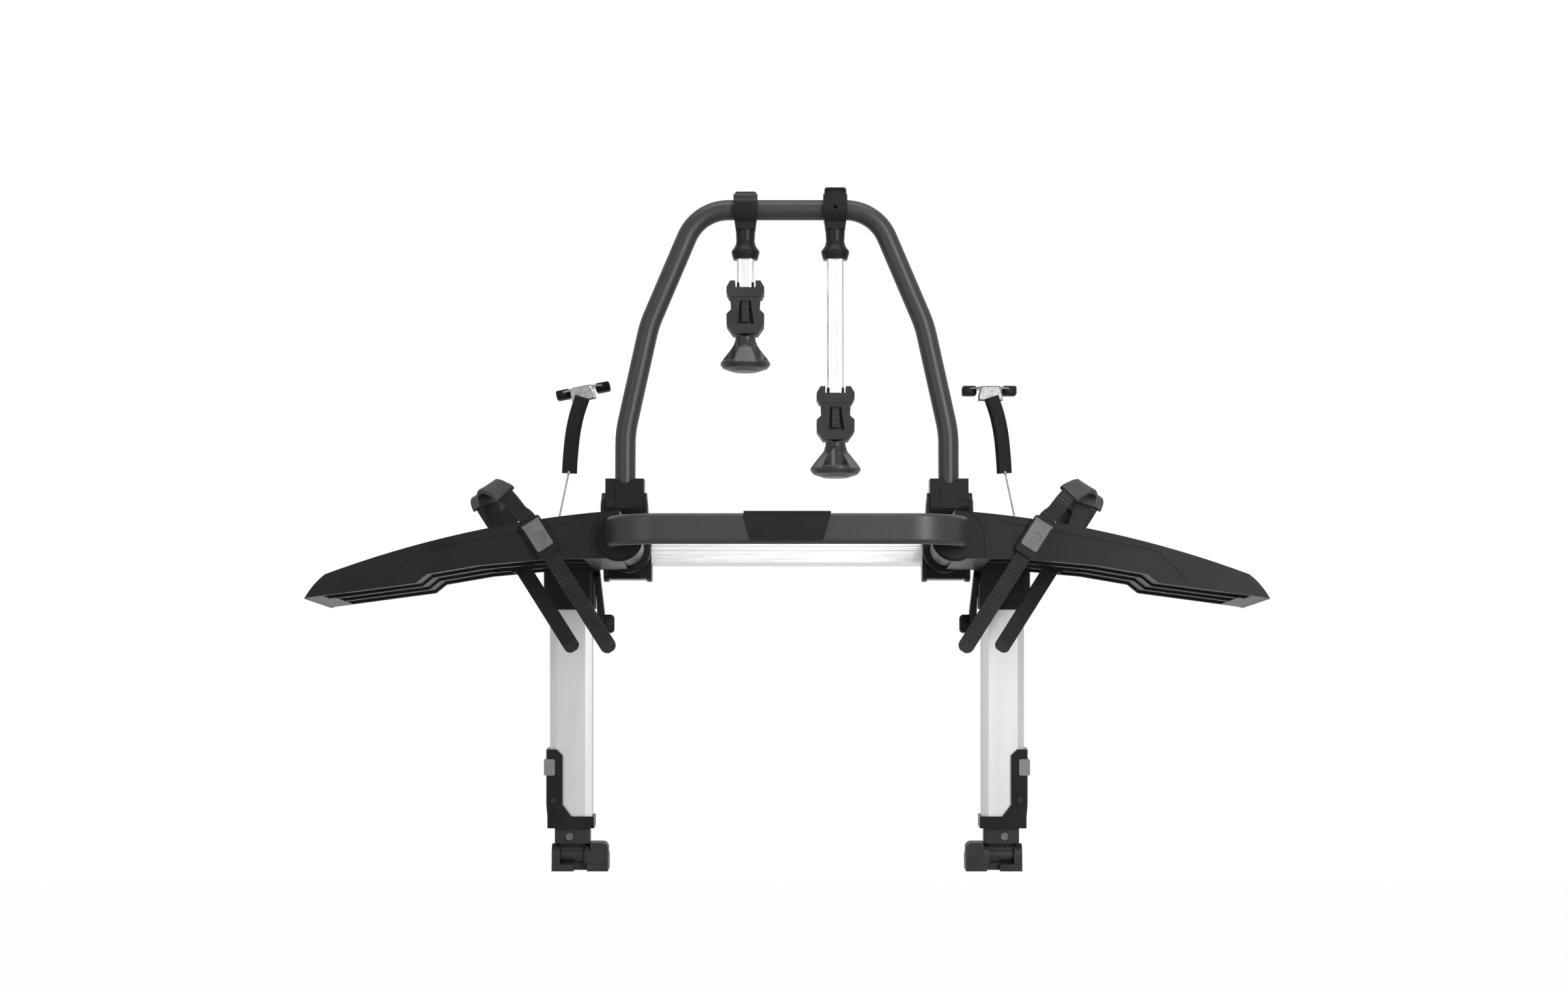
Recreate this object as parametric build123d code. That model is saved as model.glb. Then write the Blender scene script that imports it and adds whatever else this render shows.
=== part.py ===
from build123d import *
import os
from math import atan2, cos, degrees, radians, sin

# A rear hatch bicycle carrier for two bikes. Millimetres, +X to the right, +Y towards the car, +Z up.
# The origin is midway between the two feet, where they hook under the lower edge of the hatch.
# Every paired piece is built on the right, at positive X, and mirrored for the left.

# Clearances
RUN_GAP = 0.05  # a shaft in its hole
FIT_GAP = 0.1  # fixed pieces of one body
MOVE_GAP = 0.4  # surfaces that pass each other
OVERRUN = 2.0  # how far a cut runs past a face

# Crossbar that joins the legs and carries the platform
BAR_Y = -38.0
BAR_Z = 434.0
BAR_DEPTH = 30.0
BAR_HEIGHT = 42.0
BAR_WALL = 3.0
BAR_CHAMFER = 4.0
BAR_GROOVE_WIDTH = 3.0
BAR_GROOVE_DEPTH = 1.2
BAR_GROOVE_RISE = 4.0
BAR_PLUG = 20.0
JOURNAL_R = 14.0
JOURNAL_END_GAP = 4.0

# Legs, which lean towards the car at the foot
LEAN = degrees(atan2(-BAR_Y, BAR_Z))
LEG_REACH = 79.7
LEG_WIDTH = 57.4
LEG_DEPTH = 34.0
LEG_WALL = 2.6
LEG_BEVEL_WIDTH = 9.0
LEG_BEVEL_DEPTH = 4.0
LEG_BOTTOM = 66.0
LEG_TOP = 414.0
LEG_HOLE_R = 4.2

# Housing at the top of each leg
HOUSING_INNER_REACH = 47.0
HOUSING_OUTER_REACH = 116.7
HOUSING_DEPTH = 44.0
HOUSING_BOTTOM = 356.0
HOUSING_TOP = 453.0
HOUSING_CORNER = 7.0
RIM_HEIGHT = 7.0
RIM_PROUD = 1.0
PANEL_WIDTH = 46.0
PANEL_RECESS = 1.2
PANEL_HEIGHT = 72.0
PANEL_CORNER = 4.0

# Foot bracket, its button and the inner tube that slides out of the leg
COLLAR_INNER_REACH = 48.0
COLLAR_OUTER_REACH = 111.6
COLLAR_DEPTH = 43.0
COLLAR_BOTTOM = 59.0
COLLAR_TOP = 75.0
ARM_INNER_REACH = 90.7
ARM_OUTER_REACH = 113.0
ARM_TOP = 166.0
ARM_TOP_CHAMFER = 8.0
ARM_FOOT_RUN = 12.0
ARM_FOOT_RISE = 16.0
BUTTON_BOTTOM = 131.0
BUTTON_TOP = 153.0
BUTTON_INNER_REACH = 101.0
BUTTON_OUTER_REACH = 115.8
BUTTON_PLATE = 2.4
BUTTON_BACK_Y = -3.0
BUTTON_TRAVEL = 2.5
BUTTON_CORNER = 2.0
BUTTON_STEM_R = 3.5
BUTTON_STEM_Y = -8.0
SCREW_Z = 97.5
SCREW_REACH = 103.0
SCREW_HEAD_R = 4.4
SCREW_SOCKET_R = 2.2
SCREW_HEAD_HEIGHT = 3.0
SCREW_BOSS_R = 5.6
SCREW_BOSS_HEIGHT = 1.6
INNER_TUBE_WALL = 2.5
INNER_TUBE_TOP = 330.0

# Neck block under the inner tube, and the foot that pivots on it
NECK_REACH = 78.0
NECK_WIDTH = 48.0
NECK_DEPTH = 30.0
NECK_TOP = 58.5
NECK_BOTTOM = 37.5
NECK_BOLT_REACH = 81.6
NECK_BOLT_Z = 47.5
NECK_BOLT_R = 5.2
NECK_BOLT_HEAD = 3.0
NECK_BOLT_SHANK_R = 3.0
NECK_BOLT_SHANK = 20.0
FOOT_PIVOT_Z = 21.0
BARREL_R = 9.5
BARREL_INNER_REACH = 61.8
BARREL_OUTER_REACH = 94.6
WEB_DEPTH = 13.0
WEB_SLOT_WIDTH = 6.6
WEB_SLOT_HEIGHT = 6.0
WEB_SLOT_PITCH = 8.2
WEB_SLOTS = 4
FOOT_PIN_R = 4.0
FOOT_INNER_REACH = 29.5
FOOT_OUTER_REACH = 106.0
FOOT_FRONT_Y = -17.0
FOOT_SOLE = 9.5
CHEEK_R = 15.5
CHEEK_TOP = 38.5
FOOT_NOTCH_INNER_REACH = 58.0
FOOT_NOTCH_OUTER_REACH = 76.0
FOOT_NOTCH_DEPTH = 17.0
HOOK_LIP_HEIGHT = 22.0
HOOK_LIP_DEPTH = 6.0
HOOK_GAP_DEPTH = 9.0
FLANGE_CORNER = 8.0

# Support arm on the inner side of the housing, with its rubber pad
SUPPORT_PIVOT_Y = -30.0
SUPPORT_PIVOT_Z = 398.0
SUPPORT_TIP_Y = 4.0
SUPPORT_TIP_Z = 345.0
SUPPORT_ROOT_R = 11.0
SUPPORT_TIP_R = 8.0
SUPPORT_OUTER_REACH = 46.5
SUPPORT_INNER_REACH = 36.6
SUPPORT_THIN = 5.0
SUPPORT_PIN_R = 5.0
SUPPORT_PIN_LENGTH = 3.4
PAD_INNER_REACH = 24.0
PAD_WIDTH = 22.0
PAD_HEIGHT = 25.0
PAD_DEPTH = 20.0
PAD_CORNER = 5.0

# Hinge housings, which carry the wings, the band and the loop
WING_AXIS_X = 214.0
WING_AXIS_Z = 431.0
BLOCK_INNER_REACH = -30.0
BLOCK_OUTER_REACH = 35.0
BLOCK_FRONT_Y = -60.0
BLOCK_BACK_Y = -14.0
BLOCK_BOTTOM = 391.5
BLOCK_TOP = 462.0
BLOCK_CORNER = 17.0
CHEEK_PLATE = 6.5
BLOCK_RELIEF = 3.0
BLOCK_SLOTS_share = ((0.10, 0.26), (0.30, 0.58), (0.64, 0.80))
BLOCK_SLOT_HEIGHT = 8.0
BLOCK_SLOT_DEPTH = 7.0
DRUM_R = 22.0
DRUM_FRONT_Y = -318.0
FLANGE_R = 27.0
FLANGE_DEPTH = 5.0

# Loop, its sockets and the ears that hold them
LOOP_TUBE_R = 14.0
LOOP_WALL = 2.0
LOOP_BASE_REACH = 7.0
LOOP_KNEE_share = 0.2163
LOOP_SHOULDER_share = (0.8552, 0.5929)
LOOP_CORNER_share = 0.5511
LOOP_TOP_Z = 904.0
LOOP_KNEE_BEND = 150.0
LOOP_CORNER_BEND = 62.0
LOOP_PIVOT_Z = 494.0
LOOP_END_RISE = 17.0
LOOP_PIN_R = 6.0
SOCKET_WIDTH = 52.4
SOCKET_R = 21.5
SOCKET_RISE = 37.0
SOCKET_DEPTH = 40.0
SOCKET_SADDLE = 6.0
LATCH_WIDTH = 24.4
LATCH_HEIGHT = 32.0
LATCH_RISE = 28.0
LATCH_FRONT_Y = -60.0
EAR_R = 19.0
EAR_TOP_THICK = 3.0
EAR_ROOT_THICK = 7.0
EAR_OUTER_THICK = 5.0
PIN_HEAD_R = 9.0
PIN_HEAD_THICK = 1.6

# Rear band, a flat oval steel tube, and the bare plate on it
BAND_HEIGHT = 38.5
BAND_THICK = 15.0
BAND_WALL = 2.0
BAND_EDGE_R = 6.0
BAND_RISE = 6.5
BAND_FRONT_Y = -392.0
BAND_REACH = 17.5
BAND_BEND = 66.0
PLATE_TOP_HALF = 55.3
PLATE_BOTTOM_HALF = 45.0
PLATE_TOP_PROUD = 2.2
PLATE_BOTTOM_INSET = 4.2
PLATE_THICK = 4.0
PLATE_BORDER = 2.4
PLATE_RECESS = 1.0
PLATE_LIP = 9.0
PLATE_LIP_THICK = 1.8
PLATE_CORNER = 3.0

# Wings, the folding wheel trays
WING_NEAR_Y = -312.0
WING_FAR_Y = -76.0
WING_REACH = 401.0
WING_ROOT_TOP = 466.5
WING_ROOT_BOTTOM = 405.0
WING_TIP_Z = 353.5
WING_SIDE_WALL = 4.0
WING_FLOOR = 9.0
CHANNEL_WIDTH = 72.0
GUTTER_RIB = 4.0
WING_LUG_R = 30.0
WING_LUG_DEPTH = 12.0
# Places along the wing, as shares of its reach and of its drop, from the top of its root
WING_ARCH_share = ((0.500, 0.262), (0.935, 0.722))
WING_NOSE_share = ((0.972, 0.850), (1.0, 1.0))
WING_UNDER_share = ((0.987, 0.985), (0.646, 0.823), (0.611, 0.722), (0.452, 0.625), (0.210, 0.545))
CHANNEL_share = (0.115, 0.925)
GUTTER_share = (0.115, 0.190, 0.560, 0.740, 0.925)
WING_GROOVE_share = (
    (0.738, 0.815), (0.648, 0.492), (0.606, 0.440), (0.154, 0.143), (0.131, 0.082), (0.095, 0.055),
)
WING_GROOVE_WIDTH = 3.4
WING_GROOVE_DEPTH = 1.0
SEAM_WIDTH = 1.6
SEAM_R = 37.0
RAIL_WIDTH = 10.0
RAIL_DEPTH = 3.5
RAIL_LANES = 3
NOSE_SLOT_LENGTH = 30.0
NOSE_SLOT_WIDTH = 60.0
NOSE_SLOT_FROM_TIP = 22.0
WEDGE_HEIGHT = 8.0

# Wheel straps, rim caps and buckles
STRAP_WIDTH = 20.5
STRAP_THICK = 2.4
STRAP_WALL_GAP = 0.8
STRAP_TILT = 32.5
BUCKLE_REACH = 101.4
BUCKLE_Z = 431.4
STRAP_RISE = 28.0
STRAP_TAIL = 172.0
STRAP_FAR_TAIL = 156.0
STRAP_FAR_SHIFT = 49.0
STRAP_FAR_DROP = 7.0
STRAP_SLOT_LENGTH = 60.0
STRAP_SLOT_WIDTH = 46.0
STRAP_SLOT_AHEAD = 22.0
ARCH_R = 27.0
# Ways of the two straps from the buckle over the rim, as shares of the arch's radius, with the share of
# the buckle's slant that the strap has there
NEAR_WAY_share = (
    (0.948, 0, 1.207, 1.05), (1.393, 0, 1.763, 1.17), (1.837, 0.185, 2.207, 1.20),
    (2.430, 0.963, 2.504, 1.15), (2.689, 1.704, 2.319, 1.05), (2.578, 2.037, 1.837, 0.92),
    (2.319, 2.111, 1.133, 0.74), (2.022, 2.111, 0.170, 0.55),
)
FAR_WAY_share = (
    (0.948, 0, 1.467, 1.0), (1.393, 0, 2.170, 1.0), (1.615, 0.185, 2.615, 1.10),
    (1.578, 0.963, 2.874, 1.30), (1.244, 1.704, 2.652, 1.40), (0.800, 2.037, 2.170, 1.40),
    (0.281, 2.111, 1.541, 1.25), (-0.126, 2.111, 0.578, 0.80),
)
CAP_SIDE = 3.4
CAP_SKIN = 3.0
BUCKLE_WIDTH = 28.8
BUCKLE_LENGTH = 52.7
BUCKLE_DEPTH = 8.4
LEVER_WIDTH = 23.5
LEVER_LENGTH = 39.0
LEVER_THICK = 2.6
LEVER_PIN_R = 1.6
LEVER_THUMB_R = 7.0
LEVER_THUMB_DEPTH = 0.8

# Frame holder arms on the loop: place across, drop to the head, and the side that their screws face
SHORT_ARM_X = -57.0
LONG_ARM_X = 66.5
SHORT_ARM_DROP = 101.0
LONG_ARM_DROP = 246.6
CLAMP_R = 22.5
CLAMP_WIDTH = 33.0
CLAMP_FOOT_WIDTH = 27.0
CLAMP_FOOT_DROP = 28.0
CLAMP_BORE_WIDTH = 26.0
CLAMP_RELIEF = 1.6
CLAMP_BLOCK_TOP = 28.0
CLAMP_BLOCK_FRONT = 21.0
CLAMP_BLOCK_WIDTH = 30.0
CLAMP_SCREW_R = 2.8
CLAMP_SCREW_HALF_PITCH = 9.0
CLAMP_RECESS_WIDTH = 24.0
CLAMP_RECESS_HEIGHT = 7.0
CLAMP_RECESS_DEPTH = 2.5
NECK_DROP = 69.3
NECK_PROFILE_share = ((1.0, 13.4), (0.62, 12.6), (0.47, 14.2), (0.285, 19.3), (0.20, 19.0), (0.0, 16.6))
NECK_FACET_DEPTH = 1.2
SPIGOT_R = 8.0
SPIGOT_RISE = 9.0
TUBE_SIZE = 23.6
TUBE_CORNER = 6.0
TUBE_WALL = 1.8
TUBE_TOP_DROP = 54.0
TUBE_SEAT = 16.0
HEAD_WIDTH = 51.6
HEAD_DEPTH = 42.0
SEAM_DROP = 22.5
HEAD_DROP = 73.0
HORN_GAP = 28.0
HORN_STEP = 9.0
# Jaw outlines as shares of the head's half width and of each jaw's height
UPPER_JAW_share = ((0.54, 1.0), (0.80, 1.0), (1.0, 0.62), (1.0, 0.28), (0.86, 0.0))
LOWER_JAW_share = (
    (0.80, 1.0), (0.76, 0.66), (1.0, 0.54), (0.99, 0.24), (0.66, 0.0),
)
MOUTH_R = 9.5
MOUTH_Y = 15.0
WINDOW_TOP_HALF = 7.0
WINDOW_BOTTOM_HALF = 12.0
WINDOW_TOP_GAP = 5.0
WINDOW_BOTTOM_GAP = 13.0
WINDOW_DEPTH = 9.0
TONGUE_HALF = 5.0
TONGUE_THICK = 5.0
TONGUE_LENGTH = 34.0
RUNG_PITCH = 7.0
RUNG_HEIGHT = 2.0
RUNG_PROUD = 1.0
RUNGS = 4
SCREW_R = 4.0
SCREW_LENGTH = 80.0
WASHER_R = 13.8
WASHER_THICK = 5.5
WASHER_GAP = 2.4
KNOB_HEIGHT = 42.5
KNOB_PROFILE_share = (
    (1.0, 0.42), (0.86, 0.47), (0.70, 0.60), (0.48, 0.82), (0.30, 0.98), (0.22, 1.0), (0.10, 0.88),
    (0.0, 0.50),
)
KNOB_R = 34.3
LOBES = 3
SCALLOP_R = 16.0
SCALLOP_REACH = 31.0
SCALLOP_FLOOR_share = 0.34

# Hatch cables: a wire out of each housing, a rubber sleeve and a hook with two rubber claws
WIRE_R = 1.25
WIRE_EXIT_REACH = 104.5
WIRE_EXIT_Y = -26.0
WIRE_EXIT_Z = 448.0
WIRE_END_REACH = 88.0
WIRE_END_Y = 26.0
WIRE_END_Z = 546.0
FERRULE_R = 2.6
FERRULE_SEAT = 6.0
SLEEVE_WIDTH = 21.0
SLEEVE_THICK = 9.0
SLEEVE_TOP_REACH = 69.5
SLEEVE_TOP_Z = 655.0
SLEEVE_BOW = 5.0
HATCH_PLATE_WIDTH = 60.0
HATCH_PLATE_DEPTH = 34.0
HATCH_PLATE_THICK = 2.5
HATCH_PLATE_RISE = 13.0
HATCH_PLATE_LAP = 7.0
HATCH_PLATE_TOP_WIDTH = 25.0
HATCH_PLATE_LOW_WIDTH = 33.0
CLAW_WIDTH = 20.0
CLAW_DEPTH = 22.0
CLAW_HEIGHT = 13.0
CLAW_GRIP = 12.0
CLAW_CORNER = 3.0
LEFT_HOOK_ROLL = 11.0
RIGHT_HOOK_ROLL = 0.0

NODES = {}


def outline(points, corner=0.0):
    """A flat face through points, with its corners rounded."""
    face = Polygon(*points, align=None)
    return fillet(face.vertices(), corner) if corner else face


def along_x(face, low, high):
    """Stand a face of (y, z) points up and extrude it from low to high in X."""
    return Pos(low, 0, 0) * extrude(Plane.YZ * face, amount=high - low, dir=(1, 0, 0))


def along_y(face, low, high):
    """Stand a face of (x, z) points up and extrude it from low to high in Y."""
    return Pos(0, low, 0) * extrude(Plane.XZ * face, amount=high - low, dir=(0, 1, 0))


def along_z(face, low, high):
    """Extrude a face of (x, y) points from low to high in Z."""
    return Pos(0, 0, low) * extrude(face, amount=high - low, dir=(0, 0, 1))


def closed(*curves):
    """A flat face inside curves that meet end to end."""
    return make_face(Wire([edge for curve in curves for edge in curve.edges()]))


def block(x_low, x_high, y_low, y_high, z_low, z_high):
    """A plain block between two corners."""
    middle = Pos((x_low + x_high) / 2, (y_low + y_high) / 2, (z_low + z_high) / 2)
    return middle * Box(x_high - x_low, y_high - y_low, z_high - z_low)


def rod_x(radius, low, high, y, z):
    """A round bar along X."""
    return along_x(Pos(y, z) * Circle(radius), low, high)


def rod_y(radius, low, high, x, z):
    """A round bar along Y."""
    return along_y(Pos(x, z) * Circle(radius), low, high)


def lean(shape):
    """Turn a piece from the leg's upright frame into its leaning place."""
    return Rot(LEAN, 0, 0) * shape


def pair(name, shape):
    """Keep a right-hand piece and its mirror image."""
    NODES[name + "_right"] = shape
    NODES[name + "_left"] = mirror(shape, about=Plane.YZ)


# Derived places
LEG_X = WING_AXIS_X + LEG_REACH
HOUSING_INNER_X = WING_AXIS_X + HOUSING_INNER_REACH
HOUSING_OUTER_X = WING_AXIS_X + HOUSING_OUTER_REACH
COLLAR_INNER_X = WING_AXIS_X + COLLAR_INNER_REACH
COLLAR_OUTER_X = WING_AXIS_X + COLLAR_OUTER_REACH
ARM_INNER_X = WING_AXIS_X + ARM_INNER_REACH
ARM_OUTER_X = WING_AXIS_X + ARM_OUTER_REACH
BUTTON_INNER_X = WING_AXIS_X + BUTTON_INNER_REACH
BUTTON_OUTER_X = WING_AXIS_X + BUTTON_OUTER_REACH
SCREW_X = WING_AXIS_X + SCREW_REACH
NECK_X = WING_AXIS_X + NECK_REACH
NECK_BOLT_X = WING_AXIS_X + NECK_BOLT_REACH
BARREL_INNER_X = WING_AXIS_X + BARREL_INNER_REACH
BARREL_OUTER_X = WING_AXIS_X + BARREL_OUTER_REACH
FOOT_INNER_X = WING_AXIS_X + FOOT_INNER_REACH
FOOT_OUTER_X = WING_AXIS_X + FOOT_OUTER_REACH
FOOT_NOTCH_INNER_X = WING_AXIS_X + FOOT_NOTCH_INNER_REACH
FOOT_NOTCH_OUTER_X = WING_AXIS_X + FOOT_NOTCH_OUTER_REACH
SUPPORT_OUTER_X = WING_AXIS_X + SUPPORT_OUTER_REACH
SUPPORT_INNER_X = WING_AXIS_X + SUPPORT_INNER_REACH
PAD_INNER_X = WING_AXIS_X + PAD_INNER_REACH
BLOCK_INNER_X = WING_AXIS_X + BLOCK_INNER_REACH
BLOCK_OUTER_X = WING_AXIS_X + BLOCK_OUTER_REACH
WING_TIP_X = WING_AXIS_X + WING_REACH
BUCKLE_X = WING_AXIS_X + BUCKLE_REACH
WIRE_EXIT_X = WING_AXIS_X + WIRE_EXIT_REACH
WIRE_END_X = WING_AXIS_X + WIRE_END_REACH
SLEEVE_TOP_X = WING_AXIS_X + SLEEVE_TOP_REACH
LOOP_HALF_BASE = WING_AXIS_X + LOOP_BASE_REACH
BAND_HALF_WIDTH = WING_AXIS_X + BAND_REACH
BAND_Z = WING_AXIS_Z + BAND_RISE
LOOP_BOTTOM = LOOP_PIVOT_Z + LOOP_END_RISE
SOCKET_TOP = LOOP_PIVOT_Z + SOCKET_RISE
LATCH_TOP = LOOP_PIVOT_Z + LATCH_RISE
LATCH_BOTTOM = LATCH_TOP - LATCH_HEIGHT
LEG_OUTER_X = LEG_X + LEG_WIDTH / 2
BAR_HALF = HOUSING_INNER_X - JOURNAL_END_GAP
JOURNAL_END = HOUSING_OUTER_X - HOUSING_CORNER
PIVOT_RISE = BAR_Z / cos(radians(LEAN))
FOOT_BACK_Y = CHEEK_R + HOOK_GAP_DEPTH + HOOK_LIP_DEPTH
WING_DROP = WING_ROOT_TOP - WING_TIP_Z
FAR_WALL_Y = WING_FAR_Y - CHANNEL_WIDTH - 2 * WING_SIDE_WALL
NEAR_LANE_END = WING_NEAR_Y + WING_SIDE_WALL + CHANNEL_WIDTH


def leg_section(grow):
    """The leg's outline across its length, beveled on four corners, grown all round."""
    half_x = LEG_WIDTH / 2 + grow
    half_y = LEG_DEPTH / 2 + grow
    flat_x = half_x - LEG_BEVEL_WIDTH
    flat_y = half_y - LEG_BEVEL_DEPTH
    quarter = ((half_x, flat_y), (flat_x, half_y))
    points = list(quarter)
    points += [(-x, y) for x, y in reversed(quarter)]
    points += [(-x, -y) for x, y in quarter]
    points += [(x, -y) for x, y in reversed(quarter)]
    return Pos(LEG_X, 0) * Polygon(*points, align=None)


def crossbar():
    """Aluminium bar with a hollow middle, plugged ends and a round journal at each end."""
    half_y = BAR_DEPTH / 2
    half_z = BAR_HEIGHT / 2
    points = (
        (-half_y, half_z), (half_y, half_z), (half_y, BAR_CHAMFER - half_z),
        (half_y - BAR_CHAMFER, -half_z), (BAR_CHAMFER - half_y, -half_z), (-half_y, BAR_CHAMFER - half_z),
    )
    section = Polygon(*points, align=None)
    groove_y = -half_y + BAR_GROOVE_DEPTH / 2
    for rise in (BAR_GROOVE_RISE, BAR_GROOVE_RISE - 2 * BAR_GROOVE_WIDTH):
        section -= Pos(groove_y, rise) * Rectangle(BAR_GROOVE_DEPTH, BAR_GROOVE_WIDTH / 2)
    bar = along_x(Pos(BAR_Y, BAR_Z) * section, -BAR_HALF, BAR_HALF)
    hollow = Rectangle(BAR_DEPTH - 2 * BAR_WALL, BAR_HEIGHT - 2 * BAR_WALL)
    bar -= along_x(Pos(BAR_Y, BAR_Z) * hollow, BAR_PLUG - BAR_HALF, BAR_HALF - BAR_PLUG)
    for side in (-1, 1):
        ends = sorted((side * (BAR_HALF - BAR_PLUG / 2), side * JOURNAL_END))
        bar += rod_x(JOURNAL_R, *ends, BAR_Y, BAR_Z)
    return bar


def leg():
    """Beveled aluminium tube, with a hole for the button's stem."""
    tube = along_z(leg_section(0) - leg_section(-LEG_WALL), LEG_BOTTOM, LEG_TOP)
    stem_z = (BUTTON_BOTTOM + BUTTON_TOP) / 2
    tube -= rod_x(LEG_HOLE_R, LEG_X, LEG_OUTER_X + OVERRUN, BUTTON_STEM_Y, stem_z)
    return lean(tube)


def leg_housing():
    """Casting over the top of the leg, bored for the crossbar's journal."""
    width = HOUSING_OUTER_X - HOUSING_INNER_X
    middle_x = (HOUSING_OUTER_X + HOUSING_INNER_X) / 2
    plan = Pos(middle_x, 0) * RectangleRounded(width, HOUSING_DEPTH, HOUSING_CORNER)
    body = along_z(plan, HOUSING_BOTTOM, HOUSING_TOP)
    rim_plan = RectangleRounded(width, HOUSING_DEPTH + 2 * RIM_PROUD, HOUSING_CORNER)
    body += along_z(Pos(middle_x, 0) * rim_plan, HOUSING_BOTTOM, HOUSING_BOTTOM + RIM_HEIGHT)
    body = fillet(body.edges().group_by(Axis.Z)[-1], HOUSING_CORNER / 2)
    panel = RectangleRounded(PANEL_WIDTH, PANEL_HEIGHT, PANEL_CORNER)
    panel_z = HOUSING_BOTTOM + RIM_HEIGHT + PANEL_HEIGHT / 2
    front = -HOUSING_DEPTH / 2
    body -= along_y(Pos(middle_x, panel_z) * panel, front - OVERRUN, front + PANEL_RECESS)
    body -= along_z(leg_section(FIT_GAP), HOUSING_BOTTOM - OVERRUN, LEG_TOP + FIT_GAP)
    body -= rod_x(JOURNAL_R + RUN_GAP, HOUSING_INNER_X - OVERRUN, JOURNAL_END + MOVE_GAP, 0, PIVOT_RISE)
    body = lean(body)
    pin_end = SUPPORT_OUTER_X + SUPPORT_PIN_LENGTH + MOVE_GAP
    body -= rod_x(
        SUPPORT_PIN_R + RUN_GAP, HOUSING_INNER_X - OVERRUN, pin_end, SUPPORT_PIVOT_Y, SUPPORT_PIVOT_Z,
    )
    return body - cable_wire(FIT_GAP)


def foot_bracket():
    """Collar under the leg, with an arm up its outer side and a boss for a screw."""
    half = COLLAR_DEPTH / 2
    shape = block(COLLAR_INNER_X, COLLAR_OUTER_X, -half, half, COLLAR_BOTTOM, COLLAR_TOP)
    points = (
        (ARM_INNER_X - ARM_FOOT_RUN, COLLAR_TOP), (ARM_INNER_X, COLLAR_TOP + ARM_FOOT_RISE),
        (ARM_INNER_X, ARM_TOP - ARM_TOP_CHAMFER), (ARM_INNER_X + ARM_TOP_CHAMFER, ARM_TOP),
        (ARM_OUTER_X, ARM_TOP), (ARM_OUTER_X, COLLAR_TOP + ARM_FOOT_RISE), (COLLAR_OUTER_X, COLLAR_TOP),
        (COLLAR_OUTER_X, COLLAR_BOTTOM), (ARM_INNER_X - ARM_FOOT_RUN, COLLAR_BOTTOM),
    )
    shape += along_y(outline(points), -half, half)
    shape = chamfer(shape.edges().filter_by(Axis.Z).group_by(Axis.X)[-1], ARM_TOP_CHAMFER / 3)
    shape += rod_y(SCREW_BOSS_R, -half - SCREW_BOSS_HEIGHT, 0, SCREW_X, SCREW_Z)
    shape -= along_z(leg_section(FIT_GAP), LEG_BOTTOM, ARM_TOP + OVERRUN)
    shape -= along_z(leg_section(-LEG_WALL), COLLAR_BOTTOM - OVERRUN, LEG_BOTTOM + OVERRUN)
    pocket_x = BUTTON_OUTER_X - BUTTON_PLATE - BUTTON_TRAVEL - MOVE_GAP
    shape -= block(
        pocket_x, ARM_OUTER_X + OVERRUN, -half - OVERRUN, BUTTON_BACK_Y + MOVE_GAP,
        BUTTON_BOTTOM - MOVE_GAP, BUTTON_TOP + MOVE_GAP,
    )
    stem_z = (BUTTON_BOTTOM + BUTTON_TOP) / 2
    shape -= rod_x(BUTTON_STEM_R + RUN_GAP, LEG_OUTER_X - OVERRUN, ARM_OUTER_X, BUTTON_STEM_Y, stem_z)
    head_y = -half - SCREW_BOSS_HEIGHT
    shape -= rod_y(SCREW_HEAD_R + FIT_GAP, head_y - OVERRUN, head_y + SCREW_HEAD_HEIGHT, SCREW_X, SCREW_Z)
    return lean(shape)


def bracket_screw():
    """Screw in the bracket's boss, with a socket in its head."""
    head_y = -COLLAR_DEPTH / 2 - SCREW_BOSS_HEIGHT
    low = head_y + SCREW_HEAD_HEIGHT / 3
    screw = rod_y(SCREW_HEAD_R, low, head_y + SCREW_HEAD_HEIGHT, SCREW_X, SCREW_Z)
    socket = rod_y(SCREW_SOCKET_R, low - OVERRUN, low + SCREW_HEAD_HEIGHT / 3, SCREW_X, SCREW_Z)
    return lean(screw - socket)


def release_button():
    """Button that wraps the bracket's outer corner, with a stem that locks the tube."""
    front = -COLLAR_DEPTH / 2 - BUTTON_PLATE - MOVE_GAP
    inner = BUTTON_OUTER_X - BUTTON_PLATE
    points = (
        (BUTTON_INNER_X, front), (BUTTON_OUTER_X, front), (BUTTON_OUTER_X, BUTTON_BACK_Y),
        (inner, BUTTON_BACK_Y), (inner, front + BUTTON_PLATE), (BUTTON_INNER_X, front + BUTTON_PLATE),
    )
    cap = along_z(outline(points), BUTTON_BOTTOM, BUTTON_TOP)
    cap = fillet(cap.edges().filter_by(Axis.Y).group_by(Axis.X)[-1], BUTTON_CORNER)
    cap = fillet(cap.edges().filter_by(Axis.Y).group_by(Axis.X)[0], BUTTON_CORNER)
    stem_z = (BUTTON_BOTTOM + BUTTON_TOP) / 2
    stem_end = inner + BUTTON_PLATE / 2
    return lean(cap + rod_x(BUTTON_STEM_R, LEG_OUTER_X + MOVE_GAP, stem_end, BUTTON_STEM_Y, stem_z))


def extension_tube():
    """Inner tube that slides in the leg."""
    inset = LEG_WALL + MOVE_GAP
    section = leg_section(-inset) - leg_section(-inset - INNER_TUBE_WALL)
    return lean(along_z(section, NECK_TOP, INNER_TUBE_TOP))


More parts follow.
